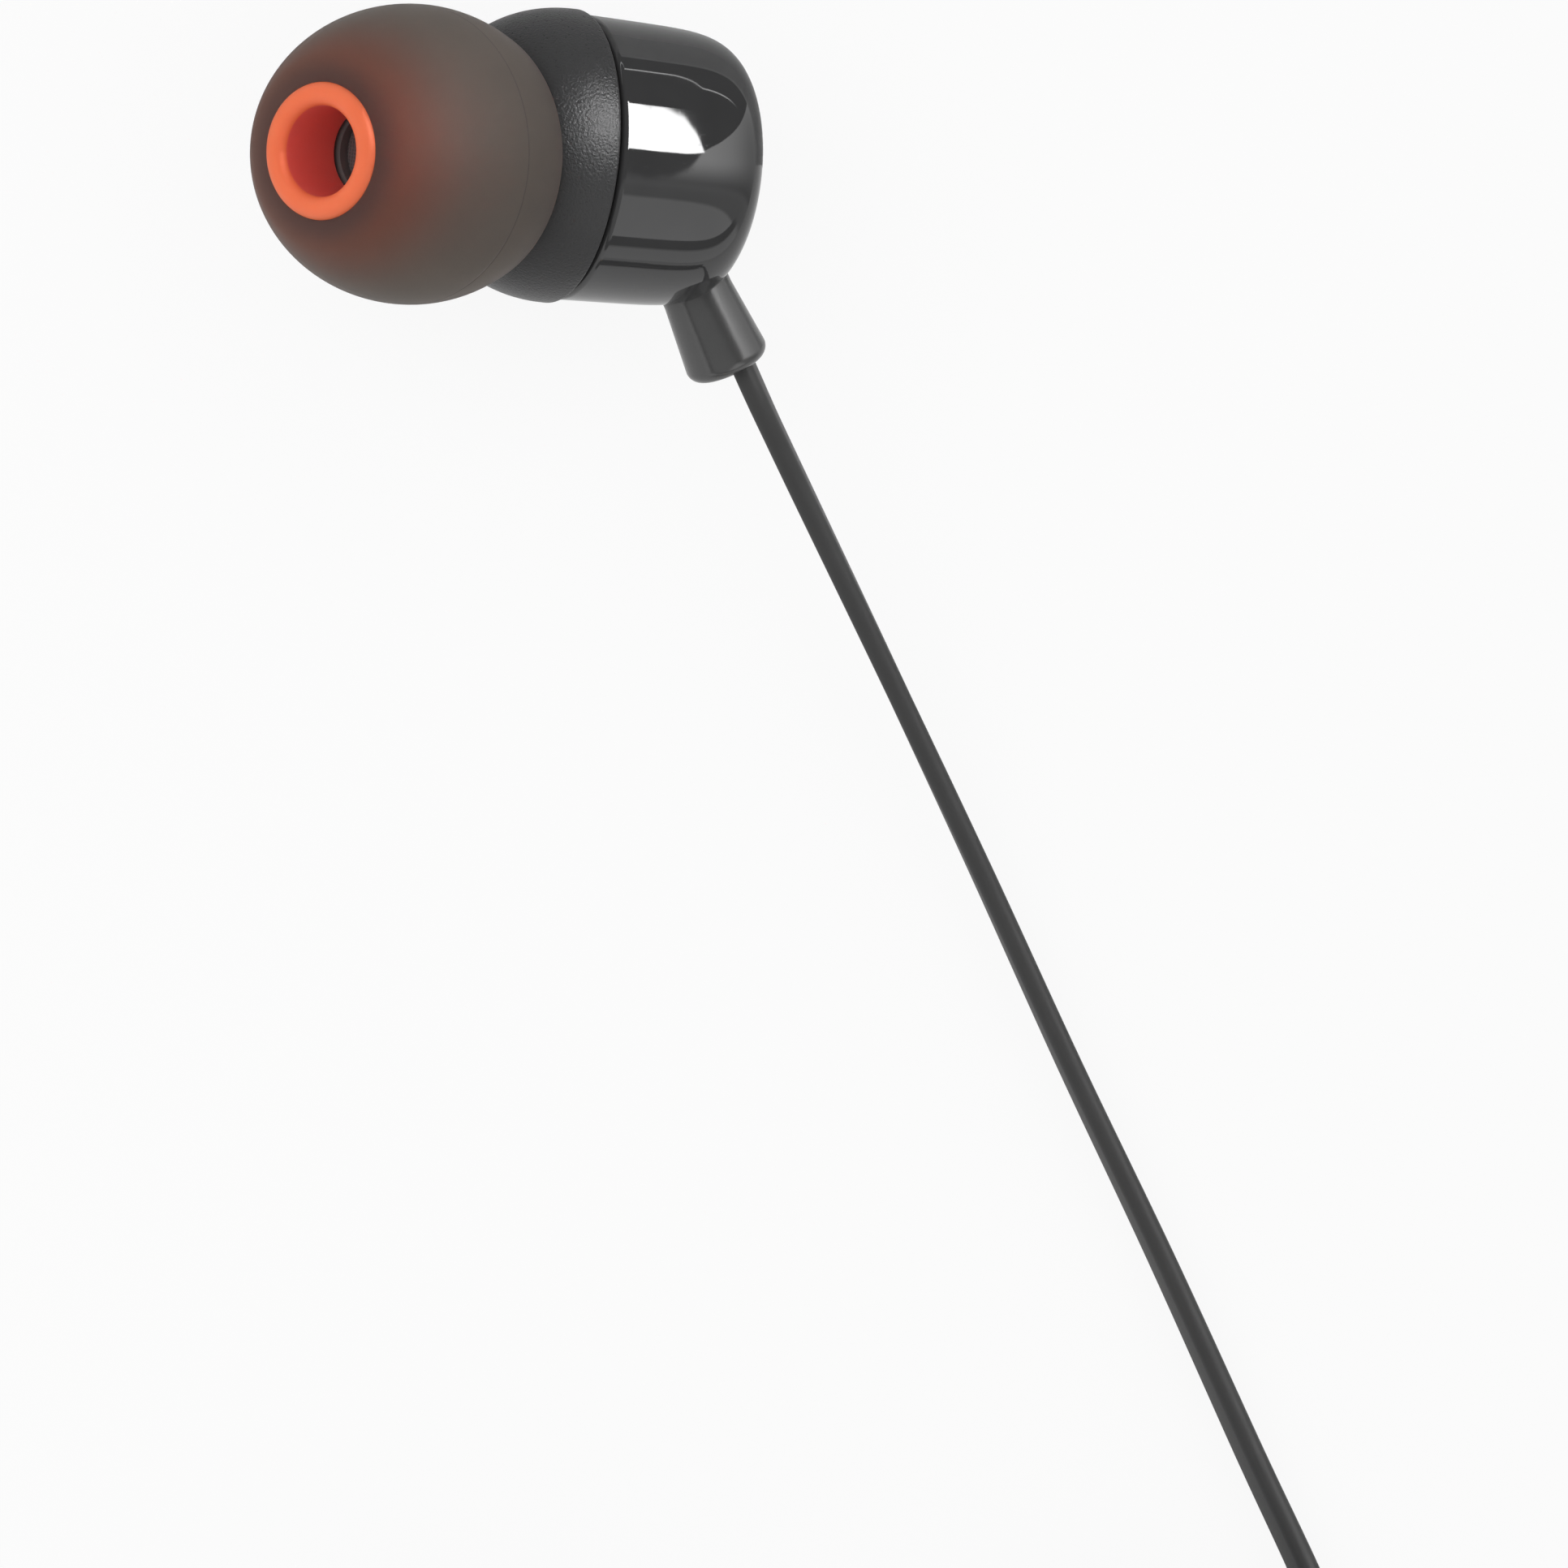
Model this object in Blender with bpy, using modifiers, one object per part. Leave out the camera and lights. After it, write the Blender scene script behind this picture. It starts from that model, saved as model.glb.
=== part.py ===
"""Wired in-ear earphones: two angled-nozzle earpieces on a flat cable, with a splitter and a 3.5 mm plug.

The pair lies on a flat surface. Each earpiece rests on the side of its housing with the nozzle tilted up.
The spare length of each cable is wound in a two-layer coil held by a tie.
"""
from math import acos, asin, atan2, ceil, cos, degrees, hypot, pi, radians, sin

import bmesh
import bpy
from mathutils import Matrix, Vector

MM = 0.001

# Clearances
FIT = 0.3 * MM              # between pieces that seat on each other
RUN = 0.3 * MM              # around pieces that move
CONTACT_GAP = 0.1 * MM      # between the stacked plug contacts
MERGE = 0.002 * MM
AXIS_MARK = 5.0 * MM        # drawn size of the empties

# Housing, along its own axis, with the seam at zero and the ear side ahead
HOUSING_WALL = 0.8 * MM
FRONT_RADIUS = 6.06 * MM
FRONT_STRAIGHT = 0.3 * MM
CROWN_RADIUS = 2.06 * MM
SHOULDER_DROP = FRONT_RADIUS - CROWN_RADIUS
SHOULDER_LENGTH = 5.0 * MM
SEAM_STEP = 0.11 * MM
REAR_TAPER = 0.16 * MM
REAR_RADIUS = FRONT_RADIUS - SEAM_STEP
REAR_END_RADIUS = REAR_RADIUS - REAR_TAPER
REAR_STRAIGHT = 3.7 * MM
REAR_DOME = 4.25 * MM
REAR_SQUARENESS = 3.0
SEAM_GAP = 0.3 * MM
SEAM_CHAMFER = 0.12 * MM

# Nozzle, along its own axis, from its root inside the housing
NOZZLE_BEND = radians(30.0)
NOZZLE_SWING = radians(3.55)    # the bend leans towards the side of the cable outlet
NOZZLE_PIVOT = 3.0 * MM
NOZZLE_SHIFT = 0.345 * MM       # the root is off the housing axis, towards the same side
NOZZLE_LENGTH = 7.95 * MM
NOZZLE_RADIUS = 2.05 * MM
NOZZLE_LIP_RADIUS = 2.3 * MM
NOZZLE_LIP_LENGTH = 0.7 * MM
NOZZLE_BORE = 1.3 * MM
MESH_SEAT_RADIUS = 1.75 * MM
MESH_SEAT_DEPTH = 0.8 * MM
MESH_THICKNESS = 0.3 * MM

# Ear tip, along the nozzle axis
TIP_RADIUS = 6.11 * MM
TIP_MAX_PLANE = 5.59 * MM
TIP_DOME_LENGTH = 7.05 * MM
TIP_FRONT_PLANE = 10.8 * MM
TIP_RIM_DRAW = 0.58 * MM
TIP_RIM_RADIUS = TIP_RADIUS - TIP_RIM_DRAW
TIP_RIM_PLANE = 2.5 * MM
TIP_RIM_ROUND = 0.18 * MM
TIP_WALL = 0.55 * MM
CORE_RADIUS = 3.1 * MM
CORE_REAR_PLANE = 3.8 * MM
CORE_BORE = 2.55 * MM
LIP_PLANE = 11.24 * MM
LIP_RADIUS = 2.315 * MM
LIP_ROUND = 0.48 * MM

# Driver, inside the housing
FRAME_FIT = 0.09 * MM
FRAME_RADIUS = REAR_END_RADIUS - HOUSING_WALL - FRAME_FIT
FRAME_WALL = 0.45 * MM
FRAME_FRONT = 1.2 * MM
FRAME_BACK = -0.8 * MM
FRAME_PLATE = 0.4 * MM
YOKE_RADIUS = 3.1 * MM
YOKE_WALL = 0.4 * MM
YOKE_BACK = -2.6 * MM
YOKE_FRONT = 0.1 * MM
POLE_RADIUS = 1.8 * MM
POLE_THICKNESS = 0.4 * MM
POLE_OVERHANG = 0.1 * MM
MAGNET_THICKNESS = 1.4 * MM
COIL_WALL = 0.25 * MM
COIL_LENGTH = 1.5 * MM
DIAPHRAGM_INSET = 0.2 * MM
DIAPHRAGM_RADIUS = FRAME_RADIUS - DIAPHRAGM_INSET
DIAPHRAGM_SKIN = 0.25 * MM
DIAPHRAGM_TRAVEL = 0.2 * MM
ROLL_HEIGHT = 0.45 * MM
GASKET_WIDTH = 0.7 * MM
GASKET_THICKNESS = 0.4 * MM
PAPER_THICKNESS = 0.2 * MM
BOARD_SIZE = (2.2 * MM, 3.6 * MM, 0.4 * MM)
BOARD_SHIFT = 1.2 * MM

# Cable outlet on the side of the rear shell
OUTLET_BACK = 6.72 * MM
OUTLET_DEPTH = 0.69 * MM
OUTLET_REACH = REAR_END_RADIUS - OUTLET_DEPTH
OUTLET_SLANT = radians(32.5)
RELIEF_RADIUS = 1.49 * MM
RELIEF_FLARE = 0.27 * MM
RELIEF_LENGTH = 3.42 * MM
RELIEF_ROOT = 2.2 * MM
RELIEF_ROUND = 0.55 * MM
ANCHOR_RADIUS = 1.0 * MM
ANCHOR_LENGTH = 1.3 * MM

# Flat cable, which stands on its edge
CABLE_WIDTH = 1.9 * MM
CABLE_THICKNESS = 0.9 * MM
CABLE_EDGE = 0.27 * MM       # depth of the drawn-in edges
CABLE_INSET = 0.8 * MM
CABLE_OFFSET = 0.55 * MM     # the slot sits towards the back of the strain relief
LEAD_STEP = 4.5 * MM

# Coils of spare cable
TURN_PITCH = 1.4 * MM
LAYER_PITCH = 2.4 * MM
POINTS_PER_TURN = 24
NEAR_TURNS = 3               # how far apart turns are still compared for their gap
TIE_WIDTH = 3.0 * MM
TIE_THICKNESS = 0.35 * MM
COIL_BASE = TIE_THICKNESS + FIT

# Splitter, where the two earpiece cables join the trunk
SPLITTER_LENGTH = 10.0 * MM
SPLITTER_WIDTH = 5.2 * MM
SPLITTER_TRUNK_WIDTH = 3.2 * MM
SPLITTER_HEIGHT = 3.4 * MM
SPLITTER_ROUND = 0.7 * MM
BRANCH_SPACING = 2.4 * MM

# Plug
PLUG_RADIUS = 1.75 * MM
PLUG_LENGTH = 14.0 * MM
PLUG_SLEEVE_LENGTH = 6.2 * MM
PLUG_RING_LENGTH = 2.4 * MM
PLUG_INSULATOR = 0.6 * MM
PLUG_NECK_RADIUS = 1.15 * MM
PLUG_POINT_RADIUS = 0.575 * MM
PLUG_NECK_SHARE = 0.3
PLUG_CROWN_SHARE = 0.55
GRIP_RADIUS = 2.9 * MM
GRIP_FRONT_RADIUS = 2.6 * MM
GRIP_LENGTH = 12.0 * MM
GRIP_ROUND = 0.6 * MM
TAIL_LENGTH = 6.0 * MM
TAIL_RADIUS = 1.75 * MM
TAIL_END_RADIUS = 1.45 * MM
TAIL_RIBS = 4
TAIL_RIB_DEPTH = 0.2 * MM
TAIL_RIB_SHAPE = ((0.15, 0.0), (0.65, 0.0), (0.75, TAIL_RIB_DEPTH), (1.05, TAIL_RIB_DEPTH))
TAIL_PLAIN_SHARE = 0.2

# Places on the surface, from the seam of the right earpiece
LAYOUT_SHIFT = Vector((1.79 * MM, 54.69 * MM, 0.0))
HOUSING_HEIGHT = FRONT_RADIUS
RIGHT_YAW = radians(-4.4)
RIGHT_ROLL = radians(6.3)
LEFT_PLACE = Vector((0.0, -107.0 * MM, HOUSING_HEIGHT))
LEFT_YAW = radians(-65.0)
LEFT_ROLL = radians(-6.3)
RIGHT_COIL = (28.5 * MM, -72.5 * MM)
RIGHT_COIL_RADIUS = 11.3 * MM
RIGHT_COIL_TURNS = (2.25, 1.9167)
RIGHT_COIL_START = 0.0
RIGHT_TIE_ANGLE = radians(150.0)
LEFT_COIL = (28.0 * MM, -104.0 * MM)
LEFT_COIL_RADIUS = 11.3 * MM
LEFT_COIL_TURNS = (3.0, 2.5)
LEFT_COIL_START = radians(-90.0)
LEFT_TIE_ANGLE = radians(-30.0)
TRUNK_COIL = (0.0, -76.0 * MM)
TRUNK_COIL_RADIUS = 15.5 * MM
TRUNK_COIL_TURNS = (5.5, 4.75)
TRUNK_COIL_START = radians(-90.0)
TRUNK_TIE_ANGLE = radians(-135.0)
CLOCKWISE = -1
ANTICLOCKWISE = 1
SPLITTER_PLACE = Vector((11.5 * MM, -91.5 * MM, 0.0))
PLUG_YAW = radians(-25.0)
PLUG_HEIGHT = COIL_BASE + LAYER_PITCH + CABLE_WIDTH + FIT + GRIP_RADIUS
PLUG_PLACE = Vector((-6.5 * MM, -64.3 * MM, PLUG_HEIGHT))

# Routes of the free cable, in millimetres, from the seam of the right earpiece
RIGHT_LEAD = [(11.4, -13.1, 4.0), (16.3, -21.2, 2.6), (20.9, -29.3, 1.7), (25.3, -37.6, 1.2),
              (29.7, -45.9, 1.05), (33.9, -54.3, 1.05), (37.0, -60.6, 1.25), (39.2, -66.2, 1.5)]
LEFT_LEAD = [(16.0, -113.0, 4.2), (21.0, -114.7, 2.6)]
RIGHT_LINK = [(28.6, -86.8, 3.6), (22.8, -89.5, 2.4)]
LEFT_LINK = [(22.6, -92.3, 2.8)]
TRUNK_TAIL = [(-15.5, -71.4, 4.4), (-13.9, -67.4, 5.6), (-11.2, -64.4, 7.2)]

# Steps round a turned piece, and points along a rounded edge
SHELL_STEPS = 24
INNER_STEPS = 16
SMALL_STEPS = 12
BARREL_POINTS = 10
DOME_POINTS = 8
EDGE_POINTS = 4
SMALL_EDGE_POINTS = 3
NOSE_POINTS = 2


for old in list(bpy.data.objects):
    bpy.data.objects.remove(old, do_unlink=True)

parts = bpy.data.collections.new("wired_earphones")
cutters = bpy.data.collections.new("cutters_and_guides")
bpy.context.scene.collection.children.link(parts)
bpy.context.scene.collection.children.link(cutters)


def finish(name, color, roughness, metallic=0.0):
    """A plain Principled material."""
    material = bpy.data.materials.new(name)
    material.use_nodes = True
    shader = material.node_tree.nodes["Principled BSDF"]
    shader.inputs["Base Color"].default_value = (*color, 1.0)
    shader.inputs["Roughness"].default_value = roughness
    shader.inputs["Metallic"].default_value = metallic
    return material


SATIN_SHELL = finish("satin_shell", (0.055, 0.055, 0.055), 0.5)
GLOSS_SHELL = finish("gloss_shell", (0.04, 0.04, 0.04), 0.12)
TIP_GREY = finish("tip_grey", (0.10, 0.085, 0.075), 0.45)
TIP_ORANGE = finish("tip_orange", (0.86, 0.17, 0.07), 0.4)
MESH_METAL = finish("mesh_metal", (0.05, 0.045, 0.045), 0.5, 0.6)
SOFT_BLACK = finish("soft_black", (0.07, 0.07, 0.07), 0.5)
CABLE_BLACK = finish("cable_black", (0.075, 0.075, 0.075), 0.45)
STEEL = finish("steel", (0.55, 0.55, 0.56), 0.3, 1.0)
MAGNET_METAL = finish("magnet_metal", (0.42, 0.42, 0.44), 0.35, 1.0)
COPPER = finish("copper", (0.72, 0.34, 0.18), 0.35, 1.0)
CLEAR_FILM = finish("clear_film", (0.75, 0.72, 0.62), 0.25)
FOAM = finish("foam", (0.12, 0.12, 0.12), 0.9)
PAPER = finish("paper", (0.80, 0.78, 0.72), 0.9)
BOARD_GREEN = finish("board_green", (0.05, 0.22, 0.10), 0.5)
CONTACT_GOLD = finish("contact_gold", (0.83, 0.62, 0.28), 0.22, 1.0)
INSULATOR_BLACK = finish("insulator_black", (0.02, 0.02, 0.02), 0.4)


def link(obj, material, parent=None):
    """Puts a finished piece with the parts."""
    parts.objects.link(obj)
    obj.data.materials.clear()
    obj.data.materials.append(material)
    obj.parent = parent
    return obj


def guide(obj, parent=None):
    """Puts a cutter or guide aside, out of the model."""
    cutters.objects.link(obj)
    obj.hide_render = True
    obj.display_type = "WIRE"
    obj.parent = parent
    return obj


def axis_frame(name, parent, location, rotation):
    """An empty that carries the pieces on one axis."""
    empty = bpy.data.objects.new(name, None)
    empty.empty_display_size = AXIS_MARK
    cutters.objects.link(empty)
    empty.parent = parent
    empty.location = location
    empty.rotation_euler = rotation
    return empty


def arc(center_r, center_z, half_r, half_z, start, end, count, squareness=2.0):
    """Points on a round or squared corner, from one angle to another, in (radius, height)."""
    points = []
    for index in range(count + 1):
        angle = radians(start + (end - start) * index / count)
        across = abs(cos(angle)) ** (2 / squareness)
        along = abs(sin(angle)) ** (2 / squareness)
        points.append((center_r + half_r * across * (1 if cos(angle) > -1e-9 else -1),
                       center_z + half_z * along * (1 if sin(angle) > -1e-9 else -1)))
    return points


def turned(name, profile, steps, ring=False):
    """A turned piece: a profile of (radius, height), run down its outer side, with a Screw modifier.

    A ring's profile closes on itself. Any other profile starts and ends on the axis.
    """
    mesh = bpy.data.meshes.new(name)
    vertices = [(radius, 0.0, height) for radius, height in profile]
    edges = [(index, index + 1) for index in range(len(profile) - 1)]
    if ring:
        edges.append((len(profile) - 1, 0))
    mesh.from_pydata(vertices, edges, [])
    obj = bpy.data.objects.new(name, mesh)
    screw = obj.modifiers.new("turn", "SCREW")
    screw.steps = steps
    screw.render_steps = steps
    screw.use_merge_vertices = True
    screw.merge_threshold = MERGE
    screw.use_smooth_shade = True
    return obj


def cylinder(name, radius, low, high, steps):
    """A plain turned disc or rod between two heights."""
    return turned(name, [(0.0, high), (radius, high), (radius, low), (0.0, low)], steps)


def collar(name, inner, outer, low, high, steps):
    """A plain turned ring between two heights."""
    return turned(name, [(outer, high), (outer, low), (inner, low), (inner, high)], steps, ring=True)


def boolean(obj, cutter, operation):
    """Cuts or joins a piece with a guide solid."""
    modifier = obj.modifiers.new(operation.lower(), "BOOLEAN")
    modifier.operation = operation
    modifier.object = cutter
    modifier.solver = "EXACT"


def front_shell(side, housing, nozzle):
    """Satin front shell: a domed shoulder with the angled nozzle, hollow, with the sound bore through it."""
    back = SEAM_GAP / 2
    shoulder = arc(CROWN_RADIUS, FRONT_STRAIGHT, SHOULDER_DROP, SHOULDER_LENGTH, 90, 0, DOME_POINTS)
    outline = [(0.0, FRONT_STRAIGHT + SHOULDER_LENGTH)] + shoulder
    outline += [(FRONT_RADIUS, back + SEAM_CHAMFER), (FRONT_RADIUS - SEAM_CHAMFER, back), (0.0, back)]
    shell = link(turned("front_shell_" + side, outline, SHELL_STEPS), SATIN_SHELL, housing)

    lip_start = NOZZLE_LENGTH - NOZZLE_LIP_LENGTH
    spout = [(0.0, NOZZLE_LENGTH), (NOZZLE_LIP_RADIUS - SEAM_CHAMFER, NOZZLE_LENGTH),
             (NOZZLE_LIP_RADIUS, NOZZLE_LENGTH - SEAM_CHAMFER), (NOZZLE_LIP_RADIUS, lip_start),
             (NOZZLE_RADIUS, lip_start), (NOZZLE_RADIUS, 0.0), (0.0, 0.0)]
    boolean(shell, guide(turned("spout_" + side, spout, INNER_STEPS), nozzle), "UNION")

    cavity_radius = FRONT_RADIUS - HOUSING_WALL
    cavity_drop = SHOULDER_DROP - HOUSING_WALL / 2
    cavity_length = SHOULDER_LENGTH - HOUSING_WALL
    dome = arc(cavity_radius - cavity_drop, FRONT_STRAIGHT, cavity_drop, cavity_length, 90, 0, EDGE_POINTS)
    hollow = [(0.0, FRONT_STRAIGHT + cavity_length)] + dome
    hollow += [(cavity_radius, -HOUSING_WALL), (0.0, -HOUSING_WALL)]
    boolean(shell, guide(turned("front_hollow_" + side, hollow, SHELL_STEPS), housing), "DIFFERENCE")

    seat = NOZZLE_LENGTH - MESH_SEAT_DEPTH
    past = NOZZLE_LENGTH + HOUSING_WALL
    bore = [(0.0, past), (MESH_SEAT_RADIUS, past), (MESH_SEAT_RADIUS, seat),
            (NOZZLE_BORE, seat), (NOZZLE_BORE, 0.0), (0.0, 0.0)]
    boolean(shell, guide(turned("sound_bore_" + side, bore, INNER_STEPS), nozzle), "DIFFERENCE")
    return shell


def nozzle_mesh(side, nozzle):
    """Grille disc in its seat at the mouth of the nozzle."""
    low = NOZZLE_LENGTH - MESH_SEAT_DEPTH + FIT
    radius = MESH_SEAT_RADIUS - FIT / 2
    disc = cylinder("nozzle_mesh_" + side, radius, low, low + MESH_THICKNESS, INNER_STEPS)
    return link(disc, MESH_METAL, nozzle)


def rear_shell(side, housing, outlet):
    """Gloss rear shell: a tapered barrel with a squared dome, hollow, with the cable outlet in its side."""
    front = -SEAM_GAP / 2
    dome = arc(0.0, -REAR_STRAIGHT, REAR_END_RADIUS, -REAR_DOME, 0, 90, BARREL_POINTS, REAR_SQUARENESS)
    outline = [(0.0, front), (REAR_RADIUS - SEAM_CHAMFER, front), (REAR_RADIUS, front - SEAM_CHAMFER)]
    outline += dome
    outline[-1] = (0.0, -REAR_STRAIGHT - REAR_DOME)
    shell = link(turned("rear_shell_" + side, outline, SHELL_STEPS), GLOSS_SHELL, housing)

    inner = REAR_END_RADIUS - HOUSING_WALL
    depth = REAR_DOME - HOUSING_WALL
    room = arc(0.0, -REAR_STRAIGHT, inner, -depth, 0, 90, EDGE_POINTS, REAR_SQUARENESS)
    hollow = [(0.0, HOUSING_WALL), (inner, HOUSING_WALL)] + room
    hollow[-1] = (0.0, -REAR_STRAIGHT - depth)
    boolean(shell, guide(turned("rear_hollow_" + side, hollow, SHELL_STEPS), housing), "DIFFERENCE")

    hole = cylinder("outlet_hole_" + side, RELIEF_RADIUS + FIT, -RELIEF_ROOT, RELIEF_LENGTH, INNER_STEPS)
    boolean(shell, guide(hole, outlet), "DIFFERENCE")
    return shell


def strain_relief(side, outlet, turn):
    """Short flared sleeve that holds the cable where it leaves the housing, with a flat slot for it."""
    end = arc(RELIEF_RADIUS + RELIEF_FLARE - RELIEF_ROUND, RELIEF_LENGTH - RELIEF_ROUND,
              RELIEF_ROUND, RELIEF_ROUND, 90, 0, EDGE_POINTS)
    outline = [(0.0, RELIEF_LENGTH)] + end
    outline += [(RELIEF_RADIUS, 0.0), (RELIEF_RADIUS, -RELIEF_ROOT), (0.0, -RELIEF_ROOT)]
    sleeve = link(turned("strain_relief_" + side, outline, INNER_STEPS), SOFT_BLACK, outlet)
    slot = flat_block("cable_slot_" + side, CABLE_WIDTH + FIT, CABLE_THICKNESS + FIT,
                      RELIEF_LENGTH - CABLE_INSET - FIT, RELIEF_LENGTH + FIT)
    slot.location.y = turn * CABLE_OFFSET
    boolean(sleeve, guide(slot, outlet), "DIFFERENCE")
    return sleeve


def flat_block(name, wide, thick, low, high):
    """A straight length with the flat cable's section, wide along X."""
    data = bpy.data.meshes.new(name)
    block = bmesh.new()
    bmesh.ops.create_cube(block, size=1.0)
    bmesh.ops.scale(block, vec=(wide, thick, high - low), verts=block.verts)
    bmesh.ops.translate(block, vec=(0.0, 0.0, (low + high) / 2), verts=block.verts)
    block.to_mesh(data)
    block.free()
    return bpy.data.objects.new(name, data)


def cable_anchor(side, outlet):
    """Crimp on the cable's inner end, which stops it from pulling out."""
    high = -RELIEF_ROOT - FIT
    barrel = cylinder("cable_anchor_" + side, ANCHOR_RADIUS, high - ANCHOR_LENGTH, high, SMALL_STEPS)
    return link(barrel, STEEL, outlet)


def ear_tip_dome(side, tip):
    """Soft umbrella: a round nose on an ellipsoid front, which runs back to a skirt with a thin round rim."""
    hole = CORE_RADIUS + FIT
    lip_outer = LIP_RADIUS + LIP_ROUND
    top = asin((TIP_FRONT_PLANE - TIP_MAX_PLANE) / TIP_DOME_LENGTH)
    lean = atan2(sin(top) / TIP_DOME_LENGTH, cos(top) / TIP_RADIUS)
    nose_round = (TIP_RADIUS * cos(top) - lip_outer) / cos(lean)
    nose = arc(lip_outer, TIP_FRONT_PLANE - nose_round * sin(lean), nose_round, nose_round,
               degrees(acos((hole - lip_outer) / nose_round)), degrees(lean), NOSE_POINTS)
    outer = arc(0.0, TIP_MAX_PLANE, TIP_RADIUS, TIP_DOME_LENGTH, degrees(top), 0, DOME_POINTS)
    rim_angle = acos(TIP_RIM_RADIUS / TIP_RADIUS)
    rim_center = TIP_RIM_PLANE + TIP_RIM_ROUND
    skirt = arc(0.0, TIP_MAX_PLANE, TIP_RADIUS, (TIP_MAX_PLANE - rim_center) / sin(rim_angle),
                0, -degrees(rim_angle), EDGE_POINTS)
    rim = arc(TIP_RIM_RADIUS - TIP_RIM_ROUND, rim_center, TIP_RIM_ROUND, TIP_RIM_ROUND, 0, -180, EDGE_POINTS)
    inner_radius = TIP_RADIUS - TIP_WALL
    inner = arc(0.0, TIP_MAX_PLANE, inner_radius, TIP_DOME_LENGTH - TIP_WALL,
                0, degrees(acos(hole / inner_radius)), DOME_POINTS)
    profile = nose[:-1] + outer[:-1] + skirt[:-1] + rim + inner
    return link(turned("ear_tip_dome_" + side, profile, SHELL_STEPS, ring=True), TIP_GREY, tip)


def ear_tip_core(side, tip):
    """Coloured inner tube of the tip: a rounded lip in front and a bore that slides over the nozzle."""
    step = NOZZLE_LENGTH + FIT
    lip = arc(LIP_RADIUS, LIP_PLANE, LIP_ROUND, LIP_ROUND, 180, 0, DOME_POINTS)
    neck = LIP_PLANE - 2 * LIP_ROUND
    profile = lip + [(LIP_RADIUS + LIP_ROUND, neck), (CORE_RADIUS, neck - LIP_ROUND),
                     (CORE_RADIUS, CORE_REAR_PLANE), (CORE_BORE, CORE_REAR_PLANE),
                     (CORE_BORE, step), (LIP_RADIUS - LIP_ROUND, step)]
    return link(turned("ear_tip_core_" + side, profile, INNER_STEPS, ring=True), TIP_ORANGE, tip)


def driver(side, housing, motion, turn):
    """Moving-coil driver: frame, yoke, magnet and pole plate, with the coil and diaphragm that move."""
    gap_inner = POLE_RADIUS + RUN
    coil_outer = gap_inner + COIL_WALL
    yoke_inner = YOKE_RADIUS - YOKE_WALL
    floor = YOKE_BACK + YOKE_WALL
    plate_hole = YOKE_RADIUS + FIT
    frame_inner = FRAME_RADIUS - FRAME_WALL
    frame = [(FRAME_RADIUS, FRAME_FRONT), (FRAME_RADIUS, FRAME_BACK), (plate_hole, FRAME_BACK),
             (plate_hole, FRAME_BACK + FRAME_PLATE), (frame_inner, FRAME_BACK + FRAME_PLATE),
             (frame_inner, FRAME_FRONT)]
    link(turned("driver_frame_" + side, frame, INNER_STEPS, ring=True), INSULATOR_BLACK, housing)

    yoke = [(0.0, floor), (yoke_inner, floor), (yoke_inner, YOKE_FRONT), (YOKE_RADIUS, YOKE_FRONT),
            (YOKE_RADIUS, YOKE_BACK), (0.0, YOKE_BACK)]
    link(turned("yoke_cup_" + side, yoke, INNER_STEPS), STEEL, housing)
    magnet_low = floor + FIT
    magnet_high = magnet_low + MAGNET_THICKNESS
    magnet_radius = POLE_RADIUS - POLE_OVERHANG
    magnet = cylinder("magnet_" + side, magnet_radius, magnet_low, magnet_high, INNER_STEPS)
    link(magnet, MAGNET_METAL, housing)
    pole_low = magnet_high + FIT
    link(cylinder("pole_plate_" + side, POLE_RADIUS, pole_low, pole_low + POLE_THICKNESS, INNER_STEPS),
         STEEL, housing)

    edge = FRAME_FRONT + DIAPHRAGM_TRAVEL + RUN
    coil_high = edge - FIT
    link(collar("voice_coil_" + side, gap_inner, coil_outer, coil_high - COIL_LENGTH, coil_high, INNER_STEPS),
         COPPER, motion)
    link(turned("diaphragm_" + side, diaphragm_profile(edge, coil_outer), INNER_STEPS), CLEAR_FILM, motion)

    gasket_low = edge + DIAPHRAGM_SKIN + ROLL_HEIGHT + DIAPHRAGM_TRAVEL + RUN
    gasket_outer = DIAPHRAGM_RADIUS - GASKET_WIDTH
    link(collar("front_gasket_" + side, gasket_outer - GASKET_WIDTH, gasket_outer,
                gasket_low, gasket_low + GASKET_THICKNESS, INNER_STEPS), FOAM, housing)
    paper_high = FRAME_BACK - FIT
    link(collar("damping_paper_" + side, plate_hole, frame_inner,
                paper_high - PAPER_THICKNESS, paper_high, INNER_STEPS), PAPER, housing)

    wide, thick, deep = BOARD_SIZE
    board_high = YOKE_BACK - FIT
    board = flat_block("terminal_board_" + side, wide, thick, board_high - deep, board_high)
    link(board, BOARD_GREEN, housing)
    board.location.y = -turn * BOARD_SHIFT


def diaphragm_profile(edge, coil_radius):
    """Thin film with a raised roll between its rim and the coil, and a dome in the middle."""
    roll_center = (DIAPHRAGM_RADIUS - GASKET_WIDTH / 2 + coil_radius) / 2
    roll_half = roll_center - coil_radius
    skin = DIAPHRAGM_SKIN
    dome = arc(0.0, edge + skin, coil_radius, ROLL_HEIGHT, 90, 0, SMALL_EDGE_POINTS)
    roll = arc(roll_center, edge + skin, roll_half, ROLL_HEIGHT, 180, 0, EDGE_POINTS)
    top = dome[:-1] + roll + [(DIAPHRAGM_RADIUS, edge + skin)]
    top[0] = (0.0, top[0][1])
    under = [(radius, height - skin) for radius, height in reversed(top)]
    return top + under


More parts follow.
